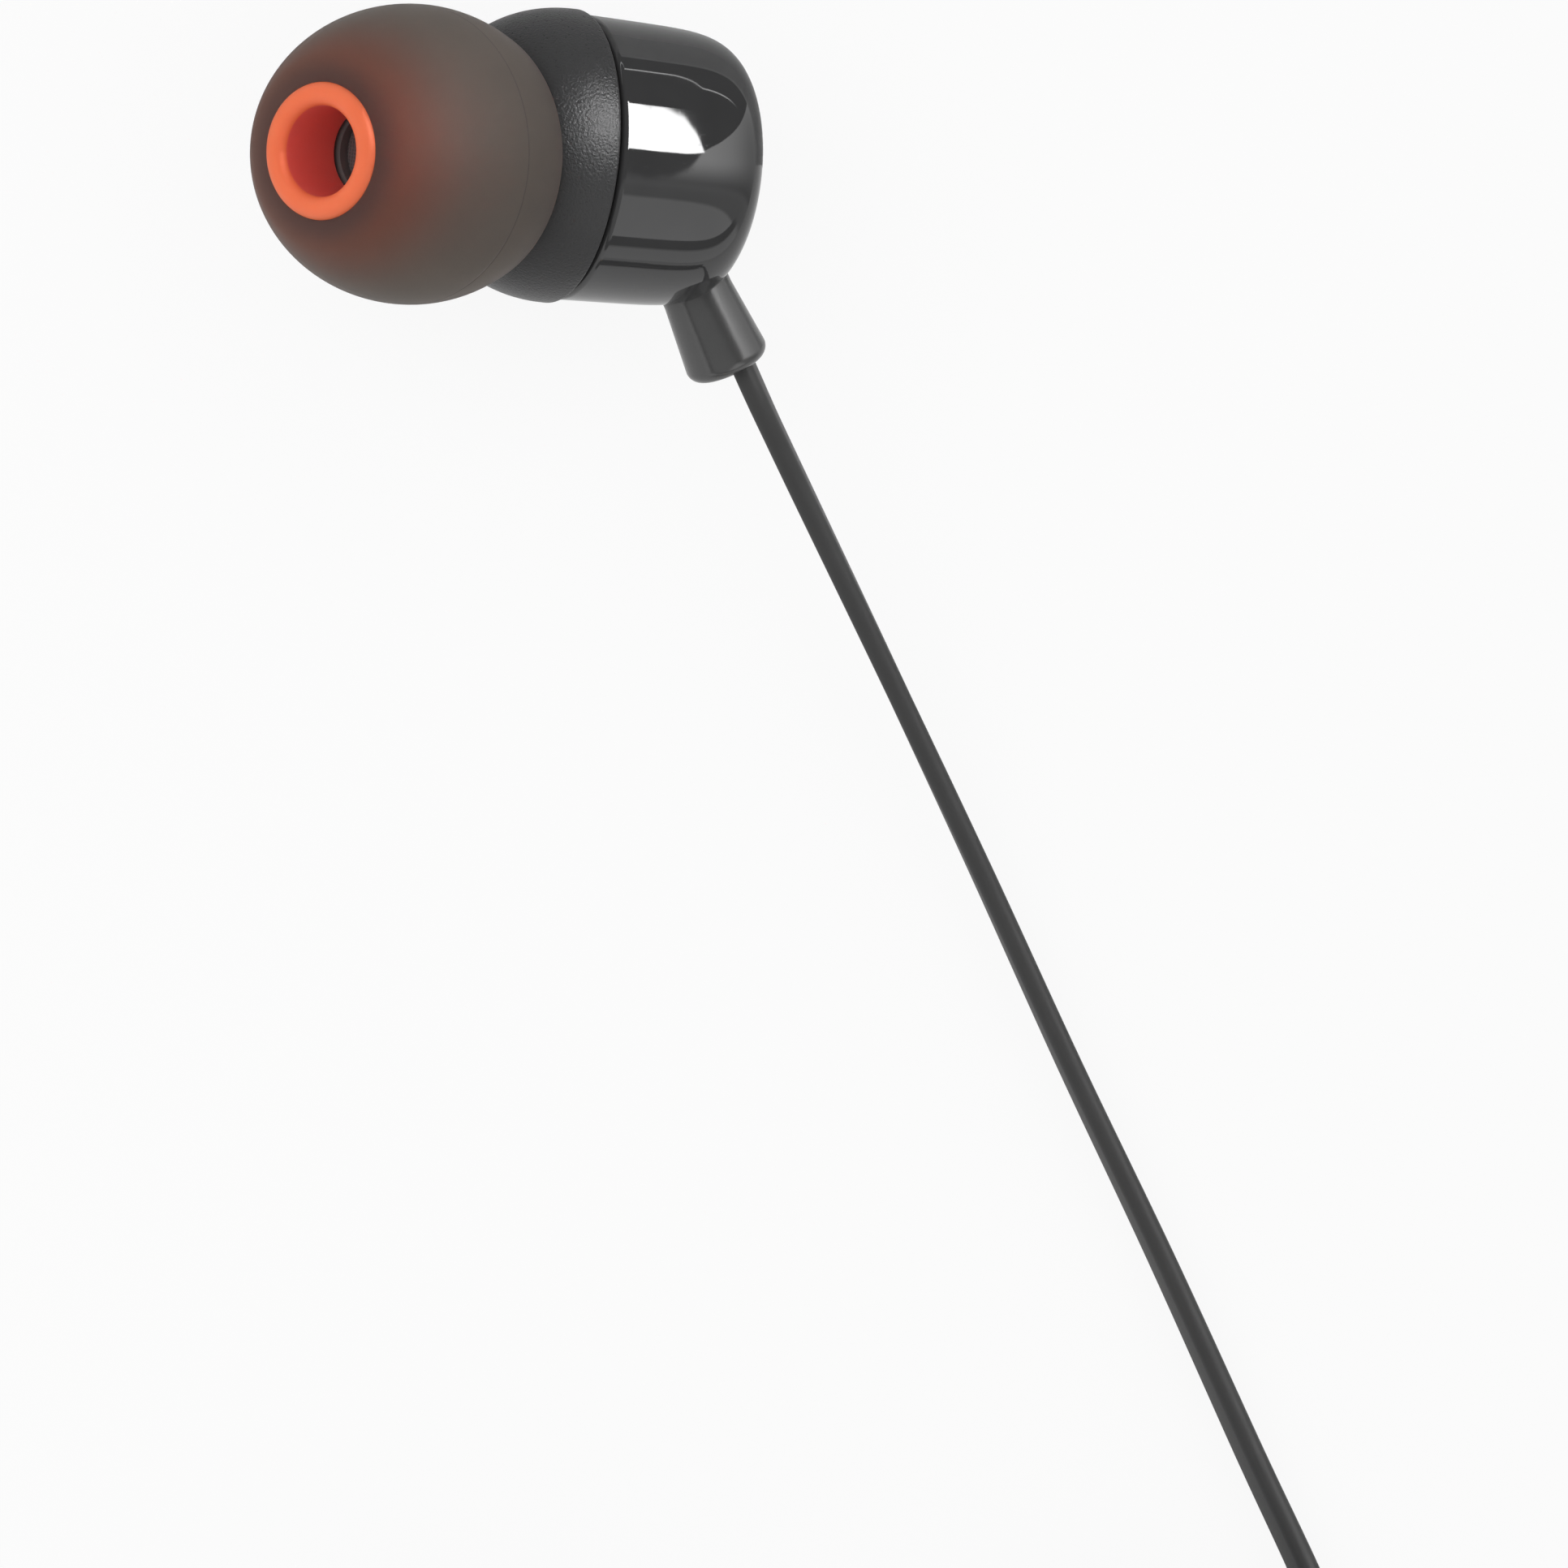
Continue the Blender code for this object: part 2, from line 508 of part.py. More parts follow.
def flat_section():
    """Section of the flat cable: a thin strip with drawn-in edges, wide along Y."""
    data = bpy.data.curves.new("cable_section", "CURVE")
    data.dimensions = "2D"
    data.fill_mode = "NONE"
    half_wide = CABLE_WIDTH / 2
    half_thick = CABLE_THICKNESS / 2
    shoulder = half_wide - CABLE_EDGE
    corners = [(0.0, -half_wide), (-half_thick, -shoulder), (-half_thick, shoulder),
               (0.0, half_wide), (half_thick, shoulder), (half_thick, -shoulder)]
    spline = data.splines.new("POLY")
    spline.points.add(len(corners) - 1)
    for point, (across, along) in zip(spline.points, corners):
        point.co = (across, along, 0.0, 1.0)
    spline.use_cyclic_u = True
    return guide(bpy.data.objects.new("cable_section", data))


def smooth_route(route, step):
    """Points about one step apart on a smooth curve through the route's own points."""
    points = [Vector(p) * MM for p in route]
    padded = [2 * points[0] - points[1]] + points + [2 * points[-1] - points[-2]]
    result = []
    for index in range(1, len(padded) - 2):
        before, start, end, after = padded[index - 1:index + 3]
        pieces = max(1, ceil((end - start).length / step))
        for piece in range(pieces):
            t = piece / pieces
            result.append(0.5 * (2 * start + (end - before) * t
                                 + (2 * before - 5 * start + 4 * end - after) * t ** 2
                                 + (3 * start - before - 3 * end + after) * t ** 3))
    result.append(points[-1])
    return result


def cable(name, points):
    """One unbroken flat cable through the points, on its edge."""
    data = bpy.data.curves.new(name, "CURVE")
    data.dimensions = "3D"
    data.twist_mode = "Z_UP"
    data.bevel_mode = "OBJECT"
    data.bevel_object = section
    data.use_fill_caps = True
    spline = data.splines.new("POLY")
    spline.points.add(len(points) - 1)
    for point, place in zip(spline.points, points):
        point.co = (*place, 1.0)
    return link(bpy.data.objects.new(name, data), CABLE_BLACK, layout)


def trimmed(points, start, end):
    """A route shortened by the gap at one or both ends."""
    points = list(points)
    if start:
        points[0] = points[0] + (points[1] - points[0]).normalized() * start
    if end:
        points[-1] = points[-1] + (points[-2] - points[-1]).normalized() * end
    return points


def smoothstep(t):
    """An even rise from 0 to 1 that starts and ends level."""
    t = min(max(t, 0.0), 1.0)
    return t * t * (3 - 2 * t)


def coil_points(center, outer, turns, start, direction):
    """Points of a coil that spirals in on the lower layer and out again on the upper one.

    It climbs in the last half turn before the spiral reverses.
    """
    turns_in, turns_out = turns
    inner = outer - TURN_PITCH * turns_in
    low = COIL_BASE + CABLE_WIDTH / 2
    total = turns_in + turns_out
    count = round(total * POINTS_PER_TURN)
    points = []
    for index in range(count + 1):
        turn = total * index / count
        past = turn - turns_in
        if past <= 0:
            radius = outer - TURN_PITCH * turn
        else:
            radius = inner + TURN_PITCH * (past + smoothstep(2 * past))
        height = low + LAYER_PITCH * smoothstep((past + 0.5) * 2)
        angle = start + direction * 2 * pi * turn
        points.append(Vector((center[0] + radius * cos(angle), center[1] + radius * sin(angle), height)))
    return points


def least_gap(points, center):
    """Least gap between the turns of a coil, from its points, with the cable taken as a plain rectangle."""
    rings = [(hypot(p.x - center[0], p.y - center[1]), p.z, p) for p in points]
    least = 1.0
    for index, (radius, height, place) in enumerate(rings):
        for other, other_height, other_place in rings[index + POINTS_PER_TURN // 2:]:
            if (place.xy - other_place.xy).length < NEAR_TURNS * TURN_PITCH:
                across = max(abs(radius - other) - CABLE_THICKNESS, 0.0)
                along = max(abs(height - other_height) - CABLE_WIDTH, 0.0)
                least = min(least, hypot(across, along))
    return least


def tie(name, center, inner, outer, angle):
    """Strap looped round the turns of a coil: a flat rounded band."""
    half = TIE_THICKNESS / 2
    low = half
    high = COIL_BASE + CABLE_WIDTH + LAYER_PITCH + FIT + half
    near = inner - CABLE_THICKNESS / 2 - FIT - half
    far = outer + CABLE_THICKNESS / 2 + FIT + half
    data = bpy.data.curves.new(name, "CURVE")
    data.dimensions = "2D"
    data.fill_mode = "BOTH"
    data.extrude = TIE_WIDTH / 2
    for grow in (half, -half):
        spline = data.splines.new("POLY")
        corners = [(near - grow, low - grow), (far + grow, low - grow),
                   (far + grow, high + grow), (near - grow, high + grow)]
        spline.points.add(len(corners) - 1)
        for point, corner in zip(spline.points, corners):
            point.co = (*corner, 0.0, 1.0)
        spline.use_cyclic_u = True
    strap = link(bpy.data.objects.new(name, data), SOFT_BLACK, layout)
    strap.location = (center[0], center[1], 0.0)
    strap.rotation_euler = (pi / 2, 0.0, angle)
    return strap


def earpiece(side, turn, place, yaw, roll):
    """All the pieces of one earpiece. The cable outlet is on the side given by turn."""
    lying = Matrix.Rotation(yaw, 3, "Z") @ Matrix.Rotation(roll, 3, "X") @ Matrix.Rotation(-pi / 2, 3, "Y")
    housing = axis_frame("housing_axis_" + side, layout, place, lying.to_euler())
    nozzle = axis_frame("nozzle_axis_" + side, housing, (0.0, turn * NOZZLE_SHIFT, NOZZLE_PIVOT),
                        (0.0, NOZZLE_BEND, turn * NOZZLE_SWING))
    outlet = axis_frame("outlet_axis_" + side, housing, (0.0, turn * OUTLET_REACH, -OUTLET_BACK),
                        (-turn * (pi / 2 + OUTLET_SLANT), 0.0, 0.0))
    motion = axis_frame("diaphragm_axis_" + side, housing, (0.0, 0.0, 0.0), (0.0, 0.0, 0.0))
    tip = axis_frame("ear_tip_axis_" + side, nozzle, (0.0, 0.0, 0.0), (0.0, 0.0, 0.0))
    front_shell(side, housing, nozzle)
    nozzle_mesh(side, nozzle)
    rear_shell(side, housing, outlet)
    strain_relief(side, outlet, turn)
    cable_anchor(side, outlet)
    driver(side, housing, motion, turn)
    ear_tip_dome(side, tip)
    ear_tip_core(side, tip)
    return outlet


def in_mm(*places):
    """Places in metres as points of a route, in millimetres."""
    return [tuple(place / MM) for place in places]


def outlet_points(outlet, turn):
    """First two points of a cable: in its slot, and one diameter clear of the strain relief."""
    bpy.context.view_layer.update()
    into_layout = layout.matrix_world.inverted() @ outlet.matrix_world
    start = into_layout @ Vector((0.0, turn * CABLE_OFFSET, RELIEF_LENGTH - CABLE_INSET))
    clear = into_layout @ Vector((0.0, turn * CABLE_OFFSET, RELIEF_LENGTH + CABLE_WIDTH))
    return in_mm(start, clear)


def route_to_coil(coil, route):
    """A route that ends where a coil starts, along the coil's own direction."""
    away = (coil[0] - coil[1]).normalized() * CABLE_WIDTH
    return route + in_mm(coil[0] + away, coil[0])


def route_from_coil(coil, route):
    """A route that starts where a coil ends, along the coil's own direction."""
    away = (coil[-1] - coil[-2]).normalized() * CABLE_WIDTH
    return in_mm(coil[-1], coil[-1] + away) + route


def wound(name, center, outer, turns, start, direction, tie_angle):
    """A coil with its tie. Prints the least gap between its turns."""
    points = coil_points(center, outer, turns, start, direction)
    cable(name, trimmed(points, FIT / 2, FIT / 2))
    last = hypot(points[-1].x - center[0], points[-1].y - center[1])
    tie(name + "_tie", center, outer - TURN_PITCH * turns[0], max(outer, last), tie_angle)
    print(name, "least gap between turns", round(least_gap(points, center) / MM, 3), "mm")
    return points


def splitter():
    """Moulded joint of the two earpiece cables and the trunk: a rounded block, narrower at the trunk end."""
    block = flat_block("cable_splitter", SPLITTER_LENGTH, SPLITTER_WIDTH, 0.0, SPLITTER_HEIGHT)
    for vertex in block.data.vertices:
        if vertex.co.x < 0:
            vertex.co.y *= SPLITTER_TRUNK_WIDTH / SPLITTER_WIDTH
    bevel = block.modifiers.new("round", "BEVEL")
    bevel.width = SPLITTER_ROUND
    bevel.segments = NOSE_POINTS
    link(block, SOFT_BLACK, layout)
    block.location = SPLITTER_PLACE
    return block


def plug():
    """Straight 3.5 mm plug: stacked contacts and insulators, a turned grip and a ribbed tail."""
    stand = axis_frame("plug_axis", layout, PLUG_PLACE, (0.0, pi / 2, PLUG_YAW))
    grip_low = TAIL_LENGTH + FIT
    grip_high = grip_low + GRIP_LENGTH
    body = [(0.0, grip_high), (GRIP_FRONT_RADIUS, grip_high), (GRIP_RADIUS, grip_high - GRIP_ROUND)]
    body += arc(GRIP_RADIUS - GRIP_ROUND, grip_low + GRIP_ROUND, GRIP_ROUND, -GRIP_ROUND,
                0, 90, SMALL_EDGE_POINTS)
    body += [(0.0, grip_low)]
    link(turned("plug_grip", body, INNER_STEPS), SOFT_BLACK, stand)

    ribs = []
    for rib in range(TAIL_RIBS):
        for share, sunk in TAIL_RIB_SHAPE:
            along = (rib + share) / (TAIL_RIBS + TAIL_PLAIN_SHARE)
            radius = TAIL_RADIUS + (TAIL_END_RADIUS - TAIL_RADIUS) * along - sunk
            ribs.append((radius, TAIL_LENGTH * (1 - along)))
    tail = [(0.0, TAIL_LENGTH), (TAIL_RADIUS, TAIL_LENGTH)] + ribs + [(TAIL_END_RADIUS, 0.0), (0.0, 0.0)]
    link(turned("plug_tail", tail, SMALL_STEPS), SOFT_BLACK, stand)

    low = grip_high + CONTACT_GAP
    for name, length, material in (("plug_sleeve", PLUG_SLEEVE_LENGTH, CONTACT_GOLD),
                                   ("plug_insulator_rear", PLUG_INSULATOR, INSULATOR_BLACK),
                                   ("plug_ring", PLUG_RING_LENGTH, CONTACT_GOLD),
                                   ("plug_insulator_front", PLUG_INSULATOR, INSULATOR_BLACK)):
        link(cylinder(name, PLUG_RADIUS, low, low + length, SMALL_STEPS), material, stand)
        low += length + CONTACT_GAP
    end = grip_high + PLUG_LENGTH
    neck = low + (end - low) * PLUG_NECK_SHARE
    crown = low + (end - low) * PLUG_CROWN_SHARE
    point = [(0.0, end), (PLUG_POINT_RADIUS, end), (PLUG_RADIUS, crown), (PLUG_NECK_RADIUS, neck),
             (PLUG_RADIUS, low), (0.0, low)]
    link(turned("plug_tip", point, SMALL_STEPS), CONTACT_GOLD, stand)


layout = axis_frame("layout", None, LAYOUT_SHIFT, (0.0, 0.0, 0.0))
section = flat_section()
right_outlet = earpiece("right", -1, Vector((0.0, 0.0, HOUSING_HEIGHT)), RIGHT_YAW, RIGHT_ROLL)
left_outlet = earpiece("left", 1, LEFT_PLACE, LEFT_YAW, LEFT_ROLL)
right_coil = wound("right_cable_coil", RIGHT_COIL, RIGHT_COIL_RADIUS, RIGHT_COIL_TURNS, RIGHT_COIL_START,
                   CLOCKWISE, RIGHT_TIE_ANGLE)
left_coil = wound("left_cable_coil", LEFT_COIL, LEFT_COIL_RADIUS, LEFT_COIL_TURNS, LEFT_COIL_START,
                  ANTICLOCKWISE, LEFT_TIE_ANGLE)
trunk_coil = wound("trunk_cable_coil", TRUNK_COIL, TRUNK_COIL_RADIUS, TRUNK_COIL_TURNS, TRUNK_COIL_START,
                   CLOCKWISE, TRUNK_TIE_ANGLE)
splitter()
plug()

branch = SPLITTER_LENGTH / 2 + FIT
upper_branch = SPLITTER_PLACE + Vector((branch, BRANCH_SPACING / 2, SPLITTER_HEIGHT / 2))
lower_branch = SPLITTER_PLACE + Vector((branch, -BRANCH_SPACING / 2, SPLITTER_HEIGHT / 2))
trunk_end = SPLITTER_PLACE + Vector((-branch, 0.0, SPLITTER_HEIGHT / 2))
straight = Vector((CABLE_WIDTH, 0.0, 0.0))
plug_back = Vector((-cos(PLUG_YAW), -sin(PLUG_YAW), 0.0))
plug_entry = PLUG_PLACE + plug_back * FIT

right_route = route_to_coil(right_coil, outlet_points(right_outlet, -1) + RIGHT_LEAD)
left_route = route_to_coil(left_coil, outlet_points(left_outlet, 1) + LEFT_LEAD)
right_join = route_from_coil(right_coil, RIGHT_LINK + in_mm(upper_branch + straight, upper_branch))
left_join = route_from_coil(left_coil, LEFT_LINK + in_mm(lower_branch + straight, lower_branch))
trunk_route = route_to_coil(trunk_coil, in_mm(trunk_end, trunk_end - straight))
tail_route = route_from_coil(trunk_coil, TRUNK_TAIL + in_mm(plug_entry + plug_back * CABLE_WIDTH, plug_entry))
cable("right_cable_lead", trimmed(smooth_route(right_route, LEAD_STEP), 0.0, FIT / 2))
cable("left_cable_lead", trimmed(smooth_route(left_route, LEAD_STEP), 0.0, FIT / 2))
cable("right_cable_link", trimmed(smooth_route(right_join, LEAD_STEP), FIT / 2, 0.0))
cable("left_cable_link", trimmed(smooth_route(left_join, LEAD_STEP), FIT / 2, 0.0))
cable("trunk_cable_lead", trimmed(smooth_route(trunk_route, LEAD_STEP), 0.0, FIT / 2))
cable("trunk_cable_tail", trimmed(smooth_route(tail_route, LEAD_STEP), FIT / 2, 0.0))
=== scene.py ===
from math import acos, asin, atan2, ceil, cos, degrees, pi, radians, sin, sqrt

import bmesh
import bpy
from mathutils import Matrix, Vector


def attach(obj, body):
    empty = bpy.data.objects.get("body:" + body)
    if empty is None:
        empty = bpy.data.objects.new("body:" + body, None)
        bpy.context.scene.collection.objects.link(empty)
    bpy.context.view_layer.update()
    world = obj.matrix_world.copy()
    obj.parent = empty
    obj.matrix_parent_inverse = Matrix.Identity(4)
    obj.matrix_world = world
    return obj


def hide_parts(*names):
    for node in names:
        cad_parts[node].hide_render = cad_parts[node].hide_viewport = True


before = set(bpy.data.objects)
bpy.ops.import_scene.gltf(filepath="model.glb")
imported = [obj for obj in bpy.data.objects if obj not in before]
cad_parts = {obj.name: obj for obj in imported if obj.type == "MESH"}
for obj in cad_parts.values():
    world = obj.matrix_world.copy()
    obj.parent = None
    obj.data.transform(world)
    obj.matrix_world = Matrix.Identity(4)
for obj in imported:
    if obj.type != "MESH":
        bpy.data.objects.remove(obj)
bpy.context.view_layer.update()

MM = 0.001

# Camera: above the tip side, with the photo's frame of 1932 by 1932 points
FRAME_POINTS = 1932
POINTS_PER_MM = 30.0
SENSOR = 36.0
NEAR_CLIP = 0.01
VIEW_DISTANCE = 500.0 * MM
VIEW_ELEVATION = radians(66.0)
SEAM_RIGHT_OF_MIDDLE = -9.09 * MM
SEAM_ABOVE_MIDDLE = 25.787 * MM

# Stage: the floor, the painted-shade card behind the right earpiece, and the soft key lamp
FLOOR_SIZE = 3.0
FLOOR_DROP = 0.2 * MM
FLOOR_GREY = 0.88
FLOOR_GLOW_SEEN = 0.9
FLOOR_GLOW_REFLECTED = 0.5
CARD_SIZE = 0.3
CARD_DROP = 0.1 * MM
CARD_GREY = 0.3
KEY_SIDE = Vector((-0.70, 0.10, 0.71))
KEY_DISTANCE = 0.42
KEY_SIZE = 0.3
KEY_POWER = 0.7

# Painted room that reflections see, by direction: X to the right and Y up in the photo, and Z up
# from the floor. A pair of numbers is where a soft edge starts and ends.
FILL_LIGHT = 0.55
HAZE_LIGHT = 0.15
NEAR_HAZE_LIGHT = 0.42
NEAR_HAZE_EDGE = (0.25, 0.35)
SOFTBOX_LIGHT = 26.0
SOFTBOX_LEFT = (0.08, 0.18)
SOFTBOX_RIGHT = (0.4875, 0.4895)
SOFTBOX_LOW = (0.075, 0.095)
SOFTBOX_HIGH = (0.745, 0.765)
SOFTBOX_CLIMB = 1.6
SOFTBOX_CLIMB_FROM = 0.452
RIGHT_WALL_LIGHT = 3.6
RIGHT_WALL_EDGE = (0.462, 0.468)
RIGHT_WALL_LEAN = 0.148
RIGHT_WALL_BEND = 2.1
RIGHT_WALL_BEND_FROM = 0.1
RIGHT_WALL_FADE_UP = (-0.5, 0.05)
RIGHT_WALL_AT_MIDDLE = 1.6
RIGHT_WALL_FADE_ACROSS = 1.4
NEAR_WALL_LIGHT = 0.9
NEAR_WALL_EDGE = (0.35, 0.4)
NEAR_WALL_LEAN = 0.3
NEAR_WALL_LOW = (0.335, 0.35)
NEAR_WALL_LEFT = (0.1, 0.2)
LOW_WALL_LIGHT = 0.5
LOW_WALL_EDGE = (0.5, 0.6)
LOW_WALL_HIGH = (0.17, 0.2)
SLIT_LIGHT = -0.42
SLIT_LOW = (0.2, 0.215)
SLIT_HIGH = (0.335, 0.35)
GAP_LIGHT = 5.0
GAP_HEIGHT = 0.2
GAP_CLIMB = 0.135
GAP_CLIMB_SPAN = (0.498, 0.53)
GAP_EDGE = (0.004, 0.014)
GAP_START = (0.3, 0.5)
GAP_RIGHT = (0.6, 0.75)

# Places on the floor, from the seam of the right earpiece
HOUSING_HEIGHT = 6.06 * MM
LAYOUT_SHIFT = Vector((1.79 * MM, 54.69 * MM, 0.0))
RIGHT_PLACE = Vector((0.0, 0.0, HOUSING_HEIGHT))
RIGHT_YAW = radians(-4.4)
RIGHT_ROLL = radians(6.3)
LEFT_PLACE = Vector((0.0, -107.0 * MM, HOUSING_HEIGHT))
LEFT_YAW = radians(-65.0)
LEFT_ROLL = radians(-6.3)

# Housing
FRONT_RADIUS = 6.06 * MM
FRONT_STRAIGHT = 0.3 * MM
CROWN_RADIUS = 2.06 * MM
SHOULDER_LENGTH = 5.0 * MM
REAR_RADIUS = 5.89 * MM
REAR_LENGTH = 7.53 * MM
REAR_TAPER = 0.03
REAR_FULLNESS = 7.9
REAR_SQUARENESS = 3.5
REAR_POINT_CROWDING = 4
HOUSING_WALL = 0.8 * MM
SEAM_PLANE = -0.08 * MM
SEAM_GAP = 0.16 * MM
SEAM_ROUND = 0.12 * MM
REAR_EDGE_ROUND = 0.28 * MM
SPIGOT_RADIUS = 5.2 * MM
SPIGOT_LENGTH = 0.7 * MM

# Nozzle
NOZZLE_BEND = radians(30.0)
NOZZLE_SWING = radians(3.55)
NOZZLE_PIVOT = 3.0 * MM
NOZZLE_SHIFT = 0.345 * MM
NOZZLE_LENGTH = 7.95 * MM
NOZZLE_RADIUS = 2.05 * MM
NOZZLE_LIP_RADIUS = 2.3 * MM
NOZZLE_LIP_LENGTH = 0.7 * MM
NOZZLE_BORE = 1.3 * MM
NOZZLE_ROOT_RADIUS = 3.3 * MM
NOZZLE_ROOT_PLANE = 0.8 * MM
NOZZLE_FLARE_PLANE = 3.4 * MM
NOZZLE_FLARE_DEGREES = 60
GRILLE_RADIUS = 1.75 * MM
GRILLE_DEPTH = 0.8 * MM
GRILLE_BULGE = 0.18 * MM
GRILLE_SEAT = 0.35 * MM

# Ear tip
TIP_RADIUS = 6.11 * MM
TIP_MAX_PLANE = 5.59 * MM
TIP_DOME_LENGTH = 7.05 * MM
TIP_FRONT_PLANE = 10.8 * MM
TIP_RIM_RADIUS = 5.53 * MM
TIP_RIM_PLANE = 2.5 * MM
TIP_RIM_ROUND = 0.18 * MM
TIP_WALL = 0.55 * MM
CORE_RADIUS = 3.1 * MM
CORE_REAR_PLANE = 3.8 * MM
CORE_BORE = 2.55 * MM
LIP_PLANE = 11.24 * MM
LIP_RADIUS = 2.315 * MM
LIP_ROUND = 0.48 * MM
LIP_COLOR_STEP = 0.12 * MM
BORE_COLOR_REACH = (1.95 * MM, 2.05 * MM)
# Reach of the painted glow near the core, and of the painted shade ring round the lip
CORE_GLOW_REACH = (3.8 * MM, 6.0 * MM)
CORE_SHADE_REACH = (3.0 * MM, 4.1 * MM)
PARTING_LINE_REACH = (0.015 * MM, 0.05 * MM)

# Cable outlet
OUTLET_BACK = 6.72 * MM
OUTLET_REACH = 5.1 * MM
OUTLET_SLANT = radians(32.5)
SLEEVE_LENGTH = 3.42 * MM
SLEEVE_ROOT = 2.2 * MM
SLEEVE_ROOT_RADIUS = 1.49 * MM
SLEEVE_END_RADIUS = 1.76 * MM
SLEEVE_ROUND = 0.55 * MM

# Flat cable and its coils
CABLE_WIDTH = 1.9 * MM
CABLE_THICKNESS = 0.9 * MM
CABLE_ROUND = 0.4 * MM
CABLE_INSET = 0.8 * MM
CABLE_OFFSET = 0.55 * MM
CABLE_STEP = 1.2 * MM
LEAN_AT_OUTLET = radians(31.0)
LEAN_PER_MM = radians(-0.5)
TURN_PITCH = 1.4 * MM
LAYER_PITCH = 2.4 * MM
POINTS_PER_TURN = 48
CLEAR = 0.3 * MM
STRAP_WIDTH = 3.0 * MM
STRAP_THICKNESS = 0.35 * MM
STRAP_ROUND = 0.5 * MM
STRAP_FIT = 0.05 * MM
STRAP_REACH = radians(14.0)
COIL_BASE = STRAP_THICKNESS + CLEAR
RIGHT_COIL = (28.5 * MM, -72.5 * MM)
RIGHT_COIL_RADIUS = 11.3 * MM
RIGHT_COIL_TURNS = (2.25, 1.9167)
RIGHT_COIL_START = 0.0
RIGHT_STRAP_ANGLE = radians(150.0)
LEFT_COIL = (28.0 * MM, -104.0 * MM)
LEFT_COIL_RADIUS = 11.3 * MM
LEFT_COIL_TURNS = (3.0, 2.5)
LEFT_COIL_START = radians(-90.0)
LEFT_STRAP_ANGLE = radians(-30.0)
TRUNK_COIL = (0.0, -76.0 * MM)
TRUNK_COIL_RADIUS = 15.5 * MM
TRUNK_COIL_TURNS = (5.5, 4.75)
TRUNK_COIL_START = radians(-90.0)
TRUNK_STRAP_ANGLE = radians(-135.0)
CLOCKWISE = -1
ANTICLOCKWISE = 1

# Routes of the free cable, in millimetres, from the seam of the right earpiece
RIGHT_LEAD = [(11.4, -13.1, 4.0), (16.3, -21.2, 2.6), (20.9, -29.3, 1.7), (25.3, -37.6, 1.2),
              (29.7, -45.9, 1.05), (33.9, -54.3, 1.05), (37.0, -60.6, 1.25), (39.2, -66.2, 1.5)]
LEFT_LEAD = [(16.0, -113.0, 4.2), (21.0, -114.7, 2.6)]
RIGHT_LINK = [(28.6, -86.8, 3.6), (22.8, -89.5, 2.4)]
LEFT_LINK = [(22.6, -92.3, 2.8)]
TRUNK_TAIL = [(-15.5, -71.4, 4.4), (-13.9, -67.4, 5.6), (-11.2, -64.4, 7.2)]

# Splitter
SPLITTER_PLACE = Vector((11.5 * MM, -91.5 * MM, 0.0))
SPLITTER_LENGTH = 10.0 * MM
SPLITTER_WIDTH = 5.2 * MM
SPLITTER_TRUNK_WIDTH = 3.2 * MM
SPLITTER_HEIGHT = 3.4 * MM
SPLITTER_ROUND = 0.9 * MM
SPLITTER_SQUARENESS = 3.2
SPLITTER_STATIONS = 28
SPLITTER_POINTS = 48
BRANCH_SPACING = 2.4 * MM

# Plug
PLUG_YAW = radians(-25.0)
GRIP_RADIUS = 2.9 * MM
PLUG_HEIGHT = COIL_BASE + LAYER_PITCH + CABLE_WIDTH + CLEAR + GRIP_RADIUS
PLUG_PLACE = Vector((-6.5 * MM, -64.3 * MM, PLUG_HEIGHT))
PLUG_RADIUS = 1.75 * MM
PLUG_LENGTH = 14.0 * MM
PLUG_SLEEVE_LENGTH = 6.2 * MM
PLUG_RING_LENGTH = 2.4 * MM
PLUG_INSULATOR = 0.6 * MM
PLUG_NECK_RADIUS = 1.15 * MM
PLUG_POINT_ROUND = 0.2875 * MM
CONTACT_GAP = 0.1 * MM
GRIP_FRONT_RADIUS = 2.6 * MM
GRIP_LENGTH = 12.0 * MM
GRIP_ROUND = 0.6 * MM
GRIP_WAIST = 0.25 * MM
GRIP_STATIONS = 24
BOOT_LENGTH = 6.0 * MM
BOOT_RADIUS = 1.75 * MM
BOOT_END_RADIUS = 1.45 * MM
BOOT_RIBS = 4
BOOT_RIB_DEPTH = 0.2 * MM
BOOT_STATIONS = 96

# Shape of the plug's tip, as shares of its length
PLUG_TIP_SHOULDER = 0.1
PLUG_TIP_NECK = (0.3, 0.24)
PLUG_TIP_BULGE = 0.55
PLUG_TIP_BULGE_ROUND = 0.12

TURN_STEPS = 128
SMALL_TURN_STEPS = 64
CREASE = radians(38.0)
WELD = 0.0001 * MM


